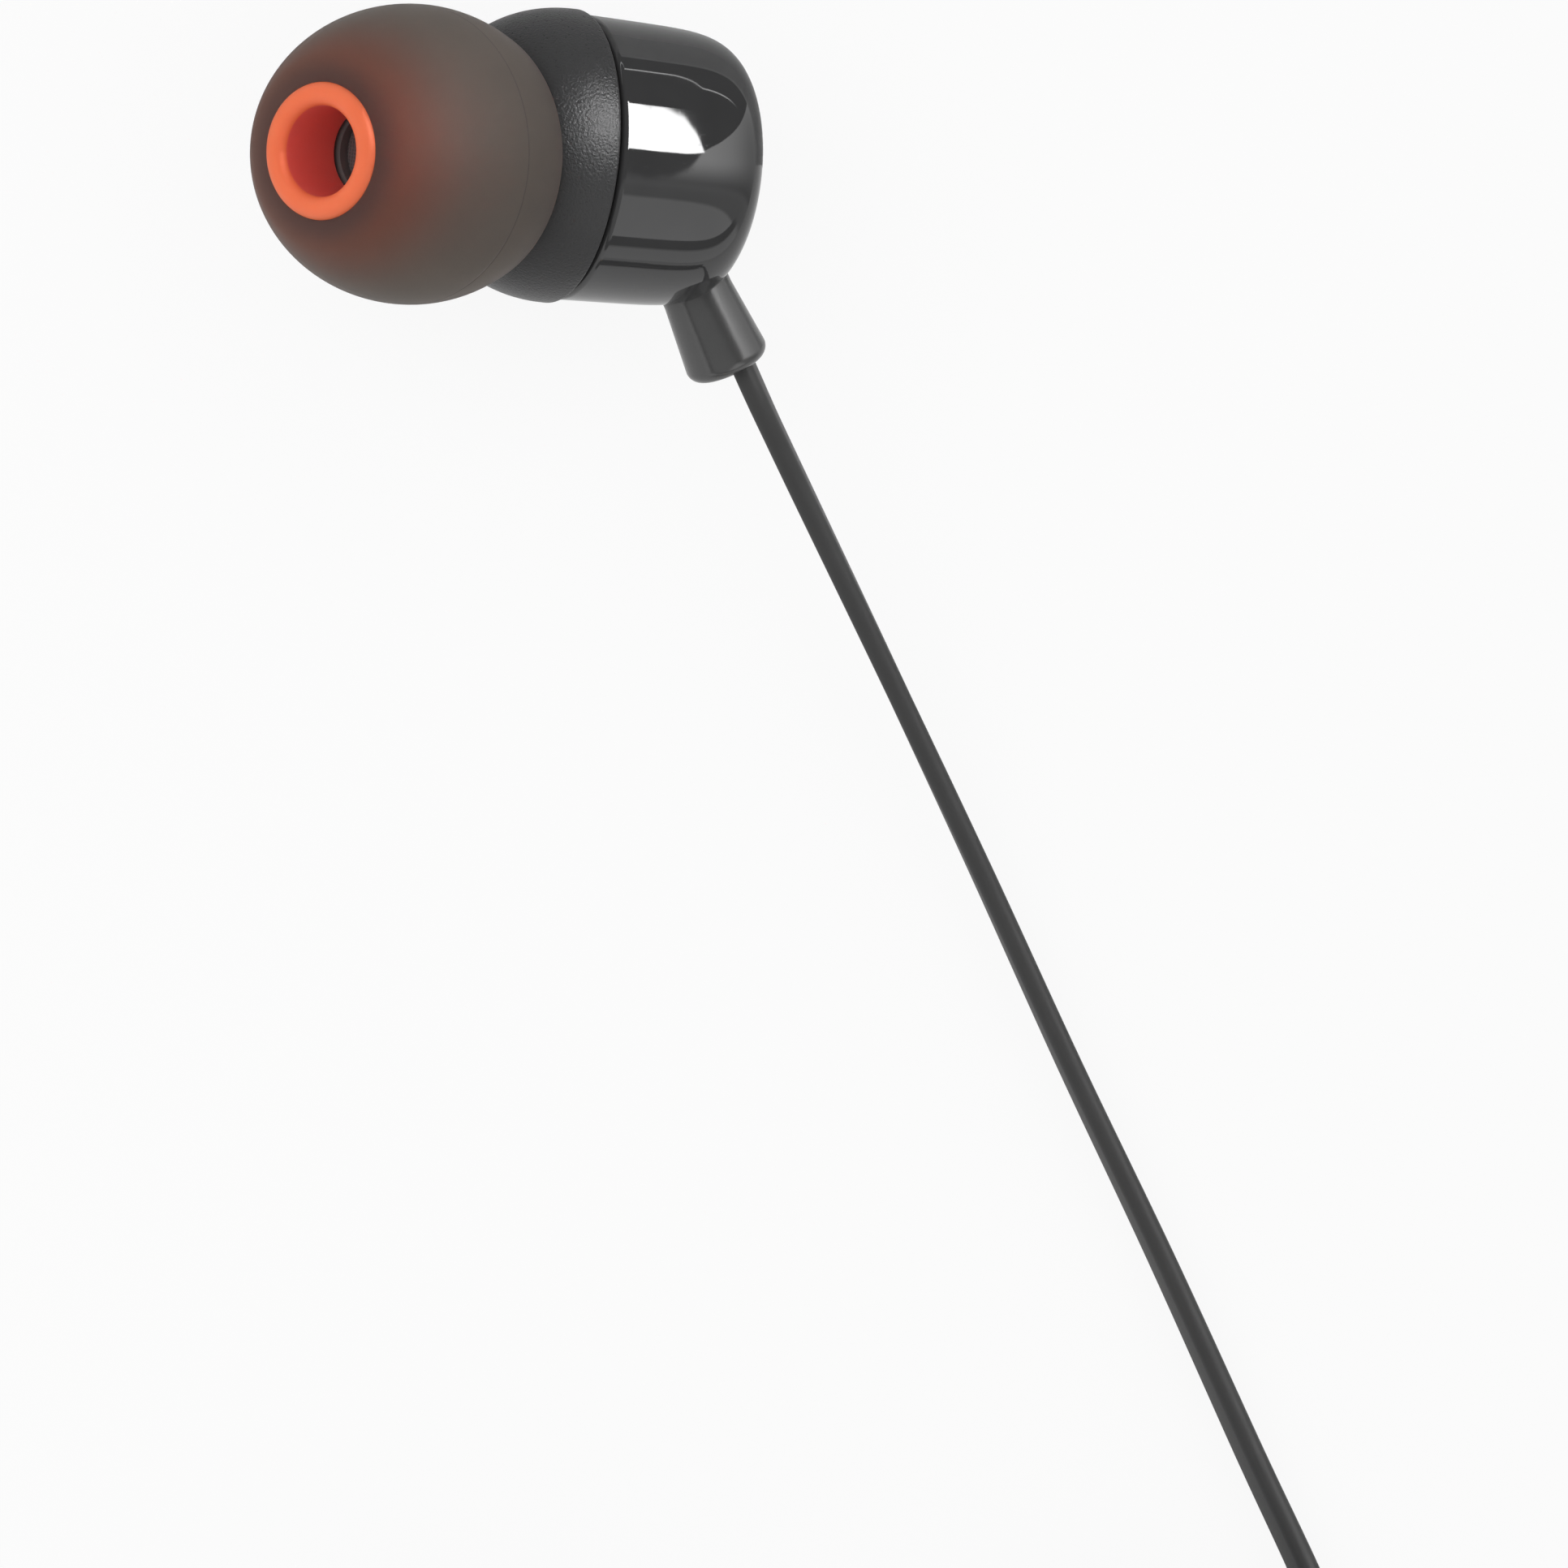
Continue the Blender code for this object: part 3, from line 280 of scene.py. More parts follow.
class Surface:
    """A shader socket that takes part in sums, and the one place where nodes are added."""

    def __init__(self, tree, socket=None):
        self.tree = tree
        self.socket = socket

    def node(self, kind, settings=None, inputs=None, output=0):
        """Adds a node, sets it up, fills or links its sockets, and gives one of its outputs."""
        made = self.tree.nodes.new(kind)
        for name, value in (settings or {}).items():
            setattr(made, name, value)
        for name, value in (inputs or {}).items():
            if isinstance(value, Surface):
                self.tree.links.new(value.socket, made.inputs[name])
            else:
                made.inputs[name].default_value = value
        return Surface(self.tree, made.outputs[output])

    def maths(self, operation, *values):
        """One Math node."""
        return self.node("ShaderNodeMath", {"operation": operation}, dict(enumerate(values)))

    def __add__(self, other):
        return self.maths("ADD", self, other)

    def __radd__(self, other):
        return self.maths("ADD", other, self)

    def __sub__(self, other):
        return self.maths("SUBTRACT", self, other)

    def __rsub__(self, other):
        return self.maths("SUBTRACT", other, self)

    def __mul__(self, other):
        return self.maths("MULTIPLY", self, other)

    def __rmul__(self, other):
        return self.maths("MULTIPLY", other, self)

    def __pow__(self, other):
        return self.maths("POWER", self, other)

    def __abs__(self):
        return self.maths("ABSOLUTE", self)

    def wave(self, pitch):
        """A wave between -1 and 1 that repeats at this pitch."""
        return self.maths("SINE", self * (2 * pi / pitch))

    def rise(self, low, high):
        """An even rise from 0 at one value to 1 at another."""
        return self.node("ShaderNodeMapRange", {"interpolation_type": "SMOOTHSTEP"},
                         {"Value": self, "From Min": low, "From Max": high})

    def fall(self, low, high):
        """An even fall from 1 at one value to 0 at another."""
        return 1.0 - self.rise(low, high)

    def place(self):
        """The point on the piece, in its own frame, in metres."""
        return self.node("ShaderNodeTexCoord", output="Object")

    def part(self, axis):
        """One part of a point: 0, 1 or 2."""
        return self.node("ShaderNodeSeparateXYZ", None, {"Vector": self}, axis)

    def from_axis(self):
        """Distance of a point from the frame's own Z axis."""
        return (self.part(0) * self.part(0) + self.part(1) * self.part(1)) ** 0.5

    def grain(self, size, detail=2.0):
        """Noise between 0 and 1 with spots of about this size, in metres."""
        return self.node("ShaderNodeTexNoise", None,
                         {"Vector": self, "Scale": 1.0 / size, "Detail": detail})

    def mix(self, low, high):
        """A colour between two colours, with this value as the share of the second."""
        ends = [color if isinstance(color, Surface) else (*color, 1.0) for color in (low, high)]
        return self.node("ShaderNodeMix", {"data_type": "RGBA"},
                         {"Factor": self, 6: ends[0], 7: ends[1]}, 2)

    def relief(self, depth, strength=1.0):
        """A normal from this height, which goes from 0 to 1 over a depth in metres."""
        return self.node("ShaderNodeBump", None,
                         {"Strength": strength, "Distance": depth, "Height": self})


class Finish(Surface):
    """A material: its Principled shader and the nodes that feed it."""

    def __init__(self, name, **constants):
        self.material = bpy.data.materials.new(name)
        self.material.use_nodes = True
        super().__init__(self.material.node_tree)
        self.shader = self.tree.nodes["Principled BSDF"]
        for socket, value in constants.items():
            self.shader.inputs[socket.replace("_", " ")].default_value = value

    def feed(self, **links):
        """Links what changes over the surface to the shader."""
        for socket, value in links.items():
            self.tree.links.new(value.socket, self.shader.inputs[socket.replace("_", " ")])
        return self.material


def satin_plastic():
    """Fine spark-eroded plastic of the front shell."""
    finish = Finish("satin_plastic", Specular_IOR_Level=0.18)
    fine = finish.place().grain(0.11 * MM, 3.0)
    broad = finish.place().grain(2.5 * MM)
    return finish.feed(Base_Color=broad.mix((0.048, 0.048, 0.049), (0.058, 0.058, 0.059)),
                       Roughness=0.22 + 0.16 * fine, Normal=fine.relief(0.03 * MM))


def gloss_plastic():
    """Polished plastic of the rear shell, with a trace of mould flow."""
    finish = Finish("gloss_plastic")
    flow = finish.place().grain(1.6 * MM, 1.0)
    wear = finish.place().grain(0.25 * MM, 3.0)
    return finish.feed(Base_Color=flow.mix((0.040, 0.040, 0.041), (0.050, 0.050, 0.051)),
                       Roughness=0.03 + 0.05 * wear.rise(0.55, 0.8), Normal=flow.relief(0.002 * MM))


def smoke_silicone():
    """Translucent smoke-grey umbrella silicone: painted core glow, a painted shade ring, a parting
    line.
    """
    finish = Finish("smoke_silicone", Transmission_Weight=0.75, IOR=1.41, Specular_IOR_Level=0.1,
                    Sheen_Weight=0.1, Sheen_Roughness=0.4)
    place = finish.place()
    radius = place.from_axis()
    height = place.part(2)
    cloud = place.grain(1.8 * MM)
    fine = place.grain(0.08 * MM, 3.0)
    grey = cloud.mix((0.22, 0.19, 0.165), (0.255, 0.22, 0.19))
    # Painted glow: a reddish tint near the core that stands in for the orange core seen through the
    # dome
    painted_core_glow = radius.fall(*CORE_GLOW_REACH).mix(grey, (0.32, 0.145, 0.105))
    # Painted shade: a darker purple-brown ring round the lip, where the dome dips towards the core
    ring = radius.fall(*CORE_SHADE_REACH).mix(painted_core_glow, (0.21, 0.115, 0.10))
    line = abs(height - TIP_MAX_PLANE).fall(*PARTING_LINE_REACH)
    return finish.feed(Base_Color=(line * 0.6).mix(ring, (0.10, 0.09, 0.085)),
                       Roughness=0.65 + 0.1 * fine,
                       Normal=(fine * 0.15 - line).relief(0.02 * MM))


def orange_silicone():
    """Orange silicone of the core and lip, redder inside its bore."""
    finish = Finish("orange_silicone", Subsurface_Weight=0.2, Subsurface_Radius=(1.0, 0.35, 0.15),
                    Subsurface_Scale=0.5 * MM, Specular_IOR_Level=0.3)
    place = finish.place()
    cloud = place.grain(1.2 * MM)
    fine = place.grain(0.07 * MM, 3.0)
    inside = place.from_axis().fall(*BORE_COLOR_REACH)
    bore = inside * place.part(2).fall(LIP_PLANE, LIP_PLANE + LIP_COLOR_STEP)
    face = cloud.mix((0.88, 0.175, 0.070), (0.93, 0.195, 0.082))
    return finish.feed(Base_Color=bore.mix(face, (0.86, 0.13, 0.105)),
                       Roughness=0.40 + 0.12 * fine, Normal=fine.relief(0.004 * MM))


def woven_grille():
    """Dark woven mesh at the mouth of the nozzle."""
    finish = Finish("woven_grille")
    place = finish.place()
    weave = place.part(0).wave(0.3 * MM) * place.part(1).wave(0.3 * MM)
    hole = abs(weave).rise(0.25, 0.75)
    return finish.feed(Base_Color=hole.mix((0.22, 0.21, 0.21), (0.12, 0.12, 0.12)),
                       Roughness=0.45 + 0.3 * hole, Metallic=0.5 - 0.4 * hole,
                       Normal=(1.0 - hole).relief(0.03 * MM))


def soft_rubber():
    """Smooth black rubber of the sleeve, splitter and plug."""
    finish = Finish("soft_rubber", Specular_IOR_Level=0.7)
    fine = finish.place().grain(0.1 * MM, 3.0)
    broad = finish.place().grain(1.5 * MM)
    return finish.feed(Base_Color=broad.mix((0.050, 0.050, 0.050), (0.064, 0.064, 0.064)),
                       Roughness=0.14 + 0.10 * fine, Normal=fine.relief(0.003 * MM))


def cable_jacket():
    """Satin jacket of the flat cable, with a faint grain."""
    finish = Finish("cable_jacket", Specular_IOR_Level=0.15)
    fine = finish.place().grain(0.12 * MM, 3.0)
    broad = finish.place().grain(3.0 * MM)
    return finish.feed(Base_Color=broad.mix((0.055, 0.055, 0.055), (0.065, 0.065, 0.065)),
                       Roughness=0.42 + 0.10 * fine, Normal=fine.relief(0.001 * MM))


def strap_cloth():
    """Woven strap of the coils."""
    finish = Finish("strap_cloth")
    place = finish.place()
    weave = place.part(0).wave(0.36 * MM) * place.part(2).wave(0.36 * MM)
    fuzz = place.grain(0.15 * MM, 3.0)
    return finish.feed(Base_Color=fuzz.mix((0.030, 0.030, 0.031), (0.060, 0.060, 0.061)),
                       Roughness=0.75 + 0.2 * fuzz, Normal=(weave * 0.5 + fuzz).relief(0.04 * MM))


def plain_metal(name, dark, light, roughness):
    """A turned or pressed metal with fine marks."""
    finish = Finish(name, Metallic=1.0)
    marks = finish.place().grain(0.12 * MM, 4.0)
    return finish.feed(Base_Color=marks.mix(dark, light), Roughness=roughness + 0.16 * marks,
                       Normal=marks.relief(0.002 * MM))


def plain_fill(name, dark, light, roughness, spot):
    """Foam, paper, film or board: two near shades in spots of one size."""
    finish = Finish(name)
    spots = finish.place().grain(spot, 4.0)
    return finish.feed(Base_Color=spots.mix(dark, light), Roughness=roughness + 0.1 * spots,
                       Normal=spots.relief(0.01 * MM))


def wound_copper():
    """Enamelled wire, one turn above another."""
    finish = Finish("wound_copper", Metallic=1.0)
    place = finish.place()
    turns = place.part(0).wave(0.09 * MM) * 0.5 + 0.5
    return finish.feed(Base_Color=turns.mix((0.50, 0.20, 0.09), (0.75, 0.36, 0.19)),
                       Roughness=0.3 + 0.1 * place.grain(0.2 * MM), Normal=turns.relief(0.03 * MM))


SATIN = satin_plastic()
GLOSS = gloss_plastic()
SMOKE = smoke_silicone()
ORANGE = orange_silicone()
SPOUT = plain_fill("spout_plastic", (0.12, 0.112, 0.110), (0.15, 0.14, 0.137), 0.5, 0.3 * MM)
GRILLE = woven_grille()
RUBBER = soft_rubber()
JACKET = cable_jacket()
STRAP = strap_cloth()
GOLD = plain_metal("gold_plate", (0.74, 0.52, 0.22), (0.86, 0.65, 0.31), 0.16)
INSULATOR = plain_fill("insulator_plastic", (0.016, 0.016, 0.016), (0.026, 0.026, 0.026), 0.35,
                       0.3 * MM)
STEEL = plain_metal("pressed_steel", (0.46, 0.46, 0.47), (0.60, 0.60, 0.61), 0.26)
INNER_FINISHES = {
    "cable_anchor": STEEL,
    "driver_frame": INSULATOR,
    "yoke_cup": STEEL,
    "magnet": plain_metal("magnet_plate", (0.36, 0.36, 0.38), (0.47, 0.47, 0.49), 0.3),
    "pole_plate": STEEL,
    "voice_coil": wound_copper(),
    "diaphragm": plain_fill("film_sheet", (0.70, 0.67, 0.57), (0.78, 0.75, 0.66), 0.2, 0.8 * MM),
    "front_gasket": plain_fill("gasket_foam", (0.08, 0.08, 0.08), (0.16, 0.16, 0.16), 0.85, 0.1 * MM),
    "damping_paper": plain_fill("damping_sheet", (0.74, 0.72, 0.66), (0.84, 0.82, 0.77), 0.85,
                                0.15 * MM),
    "terminal_board": plain_fill("board_lacquer", (0.04, 0.19, 0.085), (0.06, 0.25, 0.12), 0.4,
                                 0.5 * MM),
}


def solid(name, form):
    """A smooth-shaded object from a form, with its hard edges kept."""
    bmesh.ops.recalc_face_normals(form, faces=form.faces)
    for face in form.faces:
        face.smooth = True
    mesh = bpy.data.meshes.new(name)
    form.to_mesh(mesh)
    form.free()
    mesh.set_sharp_from_angle(angle=CREASE)
    return bpy.data.objects.new(name, mesh)


def turned(name, profile, steps=TURN_STEPS):
    """A turned piece: (radius, height) points spun round Z.

    A profile that stays off the axis closes on itself.
    """
    form = bmesh.new()
    points = [form.verts.new((radius, 0.0, height)) for radius, height in profile]
    edges = [form.edges.new(pair) for pair in zip(points, points[1:])]
    if profile[0][0] > 0.0:
        edges.append(form.edges.new((points[-1], points[0])))
    bmesh.ops.spin(form, geom=points + edges, cent=(0, 0, 0), axis=(0, 0, 1), angle=2 * pi,
                   steps=steps, use_merge=True)
    bmesh.ops.remove_doubles(form, verts=form.verts, dist=WELD)
    return solid(name, form)


def lofted(name, rings, endless=False):
    """A piece through closed rings of points: capped at both ends, or joined end to end."""
    form = bmesh.new()
    loops = [[form.verts.new(point) for point in ring] for ring in rings]
    for lower, upper in zip(loops, loops[1:] + (loops[:1] if endless else [])):
        for index in range(len(lower)):
            after = (index + 1) % len(lower)
            form.faces.new((lower[index], lower[after], upper[after], upper[index]))
    if not endless:
        form.faces.new(loops[0])
        form.faces.new(loops[-1])
    return solid(name, form)


def arc(center_r, center_z, half_r, half_z, start, end, count, squareness=2.0):
    """Points on a round or squared corner, from one angle to another, in (radius, height)."""
    points = []
    for index in range(count + 1):
        angle = radians(start + (end - start) * index / count)
        across = abs(cos(angle)) ** (2 / squareness)
        along = abs(sin(angle)) ** (2 / squareness)
        points.append((center_r + half_r * across * (1 if cos(angle) > -1e-9 else -1),
                       center_z + half_z * along * (1 if sin(angle) > -1e-9 else -1)))
    return points


def shown(obj):
    """The same object, added to the scene."""
    bpy.context.scene.collection.objects.link(obj)
    return obj


def fit(obj, where, finish, body, slot, *nodes):
    """Puts a piece in its place on a body, in its finish, in place of its CAD nodes."""
    shown(obj)
    obj.matrix_world = where
    obj.data.materials.append(finish)
    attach(obj, body)
    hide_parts(*nodes)
    return obj


def front_half():
    """Front shell: a domed shoulder with a rounded seam edge, hollow."""
    low = SEAM_PLANE + SEAM_GAP / 2
    shoulder = arc(CROWN_RADIUS, FRONT_STRAIGHT, FRONT_RADIUS - CROWN_RADIUS, SHOULDER_LENGTH,
                   90, 0, 40)
    edge = arc(FRONT_RADIUS - SEAM_ROUND, low + SEAM_ROUND, SEAM_ROUND, SEAM_ROUND, 0, -90, 6)
    inner = FRONT_RADIUS - HOUSING_WALL
    room = arc(CROWN_RADIUS - HOUSING_WALL / 2, FRONT_STRAIGHT,
               inner - CROWN_RADIUS + HOUSING_WALL / 2, SHOULDER_LENGTH - HOUSING_WALL, 0, 90, 16)
    crown = [(0.0, shoulder[0][1])]
    return crown + shoulder + edge + [(inner, low)] + room + [(0.0, room[-1][1])]


def rear_half():
    """Rear shell: a barrel that closes in one smooth curve, and a spigot for the front shell."""
    high = SEAM_PLANE - SEAM_GAP / 2
    start = REAR_EDGE_ROUND - high
    edge_radius = REAR_RADIUS - REAR_TAPER * start
    barrel = [(0.0, -REAR_LENGTH)]
    for index in range(1, TURN_STEPS):
        angle = pi / 2 * (1 - (1 - index / TURN_STEPS) ** REAR_POINT_CROWDING)
        along = REAR_LENGTH * cos(angle) ** (2 / REAR_FULLNESS)
        if along > start:
            widest = REAR_RADIUS - REAR_TAPER * along
            barrel.append((widest * sin(angle) ** (2 / REAR_SQUARENESS), -along))
    edge = arc(edge_radius - REAR_EDGE_ROUND, -start, REAR_EDGE_ROUND, REAR_EDGE_ROUND, 0, 90, 10)
    inner = SPIGOT_RADIUS - HOUSING_WALL / 2
    room = arc(0.0, -REAR_LENGTH / 2, inner, HOUSING_WALL - REAR_LENGTH / 2,
               0, 90, 16, REAR_SQUARENESS)
    room[-1] = (0.0, HOUSING_WALL - REAR_LENGTH)
    tip = high + SPIGOT_LENGTH
    return barrel + edge + [(SPIGOT_RADIUS, high), (SPIGOT_RADIUS, tip), (inner, tip)] + room


def nozzle_spout():
    """Nozzle: a flared root, a straight barrel, a lip that holds the tip, and the grille's seat."""
    lip_low = NOZZLE_LENGTH - NOZZLE_LIP_LENGTH
    seat = NOZZLE_LENGTH - GRILLE_DEPTH
    flare = arc(NOZZLE_ROOT_RADIUS, NOZZLE_FLARE_PLANE, NOZZLE_RADIUS - NOZZLE_ROOT_RADIUS,
                NOZZLE_ROOT_PLANE - NOZZLE_FLARE_PLANE, 0, NOZZLE_FLARE_DEGREES, 14)
    crown = arc(NOZZLE_LIP_RADIUS - SEAM_ROUND, NOZZLE_LENGTH - SEAM_ROUND, SEAM_ROUND, SEAM_ROUND,
                90, 0, 5)
    bore = [(NOZZLE_BORE, NOZZLE_ROOT_PLANE), (NOZZLE_BORE, seat),
            (GRILLE_RADIUS, seat), (GRILLE_RADIUS, NOZZLE_LENGTH)]
    return crown + [(NOZZLE_LIP_RADIUS, lip_low), (NOZZLE_RADIUS, lip_low)] + flare + bore


def mouth_grille():
    """Grille: a thin pressed disc that bulges outwards."""
    low = NOZZLE_LENGTH - GRILLE_DEPTH + GRILLE_SEAT
    radius = GRILLE_RADIUS - SEAM_ROUND
    top = arc(0.0, low + SEAM_ROUND, radius, GRILLE_BULGE, 90, 0, 10)
    top[0] = (0.0, top[0][1])
    return top + [(radius, low), (0.0, low)]


def umbrella():
    """Tip dome: a round nose by the lip, an ellipsoid front, and a skirt down to a round rim."""
    lip_outer = LIP_RADIUS + LIP_ROUND
    top = asin((TIP_FRONT_PLANE - TIP_MAX_PLANE) / TIP_DOME_LENGTH)
    lean = atan2(sin(top) / TIP_DOME_LENGTH, cos(top) / TIP_RADIUS)
    nose_round = (TIP_RADIUS * cos(top) - lip_outer) / cos(lean)
    nose = arc(lip_outer, TIP_FRONT_PLANE - nose_round * sin(lean), nose_round, nose_round,
               90, degrees(lean), 16)
    outer = arc(0.0, TIP_MAX_PLANE, TIP_RADIUS, TIP_DOME_LENGTH, degrees(top), 0, 48)
    rim_angle = acos(TIP_RIM_RADIUS / TIP_RADIUS)
    rim_center = TIP_RIM_PLANE + TIP_RIM_ROUND
    skirt = arc(0.0, TIP_MAX_PLANE, TIP_RADIUS, (TIP_MAX_PLANE - rim_center) / sin(rim_angle),
                0, -degrees(rim_angle), 24)
    rim = arc(TIP_RIM_RADIUS - TIP_RIM_ROUND, rim_center, TIP_RIM_ROUND, TIP_RIM_ROUND,
              0, -180, 12)
    inner_radius = TIP_RADIUS - TIP_WALL
    inner = arc(0.0, TIP_MAX_PLANE, inner_radius, TIP_DOME_LENGTH - TIP_WALL,
                0, degrees(acos(CORE_RADIUS / inner_radius)), 32)
    return nose[:-1] + outer[:-1] + skirt[:-1] + rim + inner + [(lip_outer, LIP_PLANE)]


def tip_tube():
    """Tip core: a rounded lip in front, a short neck, and a tube that slides over the nozzle."""
    step = NOZZLE_LENGTH + CLEAR
    lip = arc(LIP_RADIUS, LIP_PLANE, LIP_ROUND, LIP_ROUND, 180, 0, 36)
    neck = LIP_PLANE - 2 * LIP_ROUND
    tube = [(CORE_RADIUS, neck - LIP_ROUND), (CORE_RADIUS, CORE_REAR_PLANE),
            (CORE_BORE, CORE_REAR_PLANE), (CORE_BORE, step), (LIP_RADIUS - LIP_ROUND, step)]
    return lip + [(LIP_RADIUS + LIP_ROUND, neck)] + tube


def outlet_sleeve():
    """Sleeve where the cable leaves: it widens a little outwards and has a round end."""
    end = arc(SLEEVE_END_RADIUS - SLEEVE_ROUND, SLEEVE_LENGTH - SLEEVE_ROUND,
              SLEEVE_ROUND, SLEEVE_ROUND, 90, 0, 12)
    root = [(SLEEVE_ROOT_RADIUS, 0.0), (SLEEVE_ROOT_RADIUS, -SLEEVE_ROOT), (0.0, -SLEEVE_ROOT)]
    return [(0.0, SLEEVE_LENGTH)] + end + root


def earpiece(side, turn, place, yaw, roll):
    """All the pieces of one earpiece, with the cable outlet on the side given by turn.

    Gives the frame of the outlet.
    """
    housing = (Matrix.Translation(LAYOUT_SHIFT + place) @ Matrix.Rotation(yaw, 4, "Z")
               @ Matrix.Rotation(roll, 4, "X") @ Matrix.Rotation(-pi / 2, 4, "Y"))
    nozzle = (housing @ Matrix.Translation((0, turn * NOZZLE_SHIFT, NOZZLE_PIVOT))
              @ Matrix.Rotation(turn * NOZZLE_SWING, 4, "Z") @ Matrix.Rotation(NOZZLE_BEND, 4, "Y"))
    outlet = (housing @ Matrix.Translation((0, turn * OUTLET_REACH, -OUTLET_BACK))
              @ Matrix.Rotation(-turn * (pi / 2 + OUTLET_SLANT), 4, "X"))
    tip = "ear_tip_" + side
    small = SMALL_TURN_STEPS
    pieces = (
        ("front_half_", front_half(), TURN_STEPS, housing, SATIN, "root", "satin_shell",
         "front_shell_"),
        ("nozzle_spout_", nozzle_spout(), small, nozzle, SPOUT, "root", "satin_shell",
         "front_shell_"),
        ("mouth_grille_", mouth_grille(), small, nozzle, GRILLE, "root", "mesh_metal",
         "nozzle_mesh_"),
        ("rear_half_", rear_half(), TURN_STEPS, housing, GLOSS, "root", "gloss_shell",
         "rear_shell_"),
        ("outlet_sleeve_", outlet_sleeve(), small, outlet, RUBBER, "root", "soft_black",
         "strain_relief_"),
        ("umbrella_", umbrella(), TURN_STEPS, nozzle, SMOKE, tip, "tip_grey", "ear_tip_dome_"),
        ("tip_tube_", tip_tube(), TURN_STEPS, nozzle, ORANGE, tip, "tip_orange", "ear_tip_core_"),
    )
    for name, profile, steps, where, finish, body, slot, node in pieces:
        fit(turned(name + side, profile, steps), where, finish, body, slot, node + side)
    for name, finish in INNER_FINISHES.items():
        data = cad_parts[name + "_" + side].data
        data.materials.clear()
        data.materials.append(finish)
    return outlet


def smooth_route(points):
    """Points about one step apart on a smooth curve through the route's own points."""
    padded = [2 * points[0] - points[1]] + points + [2 * points[-1] - points[-2]]
    result = []
    for index in range(1, len(padded) - 2):
        before, start, end, after = padded[index - 1:index + 3]
        pieces = ceil((end - start).length / CABLE_STEP)
        for piece in range(pieces):
            t = piece / pieces
            result.append(0.5 * (2 * start + (end - before) * t
                                 + (2 * before - 5 * start + 4 * end - after) * t ** 2
                                 + (3 * start - before - 3 * end + after) * t ** 3))
    return result + [points[-1]]


def smoothstep(t):
    """An even rise from 0 to 1 that starts and ends level."""
    t = min(max(t, 0.0), 1.0)
    return t * t * (3 - 2 * t)


def coil_points(center, outer, turns, start, direction):
    """Points of a coil that spirals in on the lower layer and out again on the upper one."""
    turns_in, turns_out = turns
    inner = outer - TURN_PITCH * turns_in
    total = turns_in + turns_out
    count = round(total * POINTS_PER_TURN)
    points = []
    for index in range(count + 1):
        turn = total * index / count
        past = turn - turns_in
        if past <= 0:
            radius = outer - TURN_PITCH * turn
        else:
            radius = inner + TURN_PITCH * (past + smoothstep(2 * past))
        height = COIL_BASE + CABLE_WIDTH / 2 + LAYER_PITCH * smoothstep((past + 0.5) * 2)
        angle = start + direction * 2 * pi * turn
        points.append(Vector((center[0] + radius * cos(angle), center[1] + radius * sin(angle),
                              height)))
    return points


def cable_route(first, coil, last):
    """One route in the frame of the layout: up to a coil, round it, and on from its end."""
    into = (coil[0] - coil[1]).normalized() * CABLE_WIDTH
    out = (coil[-1] - coil[-2]).normalized() * CABLE_WIDTH
    lead = smooth_route(first + [coil[0] + into, coil[0]])
    link = smooth_route([coil[-1], coil[-1] + out] + last)
    return [LAYOUT_SHIFT + point for point in lead + coil[1:-1] + link]


def cable_section():
    """Section of the flat cable: wide along Y, with rounded edges."""
    data = bpy.data.curves.new("cable_section", "CURVE")
    data.dimensions = "2D"
    data.fill_mode = "NONE"
    across = CABLE_THICKNESS / 2 - CABLE_ROUND
    along = CABLE_WIDTH / 2 - CABLE_ROUND
    corners = ((across, along), (-across, along), (-across, -along), (across, -along))
    outline = []
    for quarter, (x, y) in enumerate(corners):
        outline += arc(x, y, CABLE_ROUND, CABLE_ROUND, quarter * 90, quarter * 90 + 90, 5)
    spline = data.splines.new("POLY")
    spline.points.add(len(outline) - 1)
    for point, place in zip(spline.points, outline):
        point.co = (*place, 0.0, 1.0)
    spline.use_cyclic_u = True
    section = shown(bpy.data.objects.new("cable_section", data))
    section.hide_render = True
    return section


def cord(name, route, lean, *nodes):
    """One unbroken flat cable on its edge along a route. It starts with a lean and comes upright."""
    data = bpy.data.curves.new(name, "CURVE")
    data.dimensions = "3D"
    data.twist_mode = "Z_UP"
    data.bevel_mode = "OBJECT"
    data.bevel_object = SECTION
    data.use_fill_caps = True
    spline = data.splines.new("POLY")
    spline.points.add(len(route) - 1)
    run = 0.0
    for index, place in enumerate(route):
        run += (place - route[index - 1]).length if index else 0.0
        spline.points[index].co = (*place, 1.0)
        spline.points[index].tilt = max(0.0, lean + LEAN_PER_MM * run / MM) if lean else 0.0
    spline.use_smooth = True
    return fit(bpy.data.objects.new(name, data), Matrix.Identity(4), JACKET, "root", "cable_black",
               *nodes)


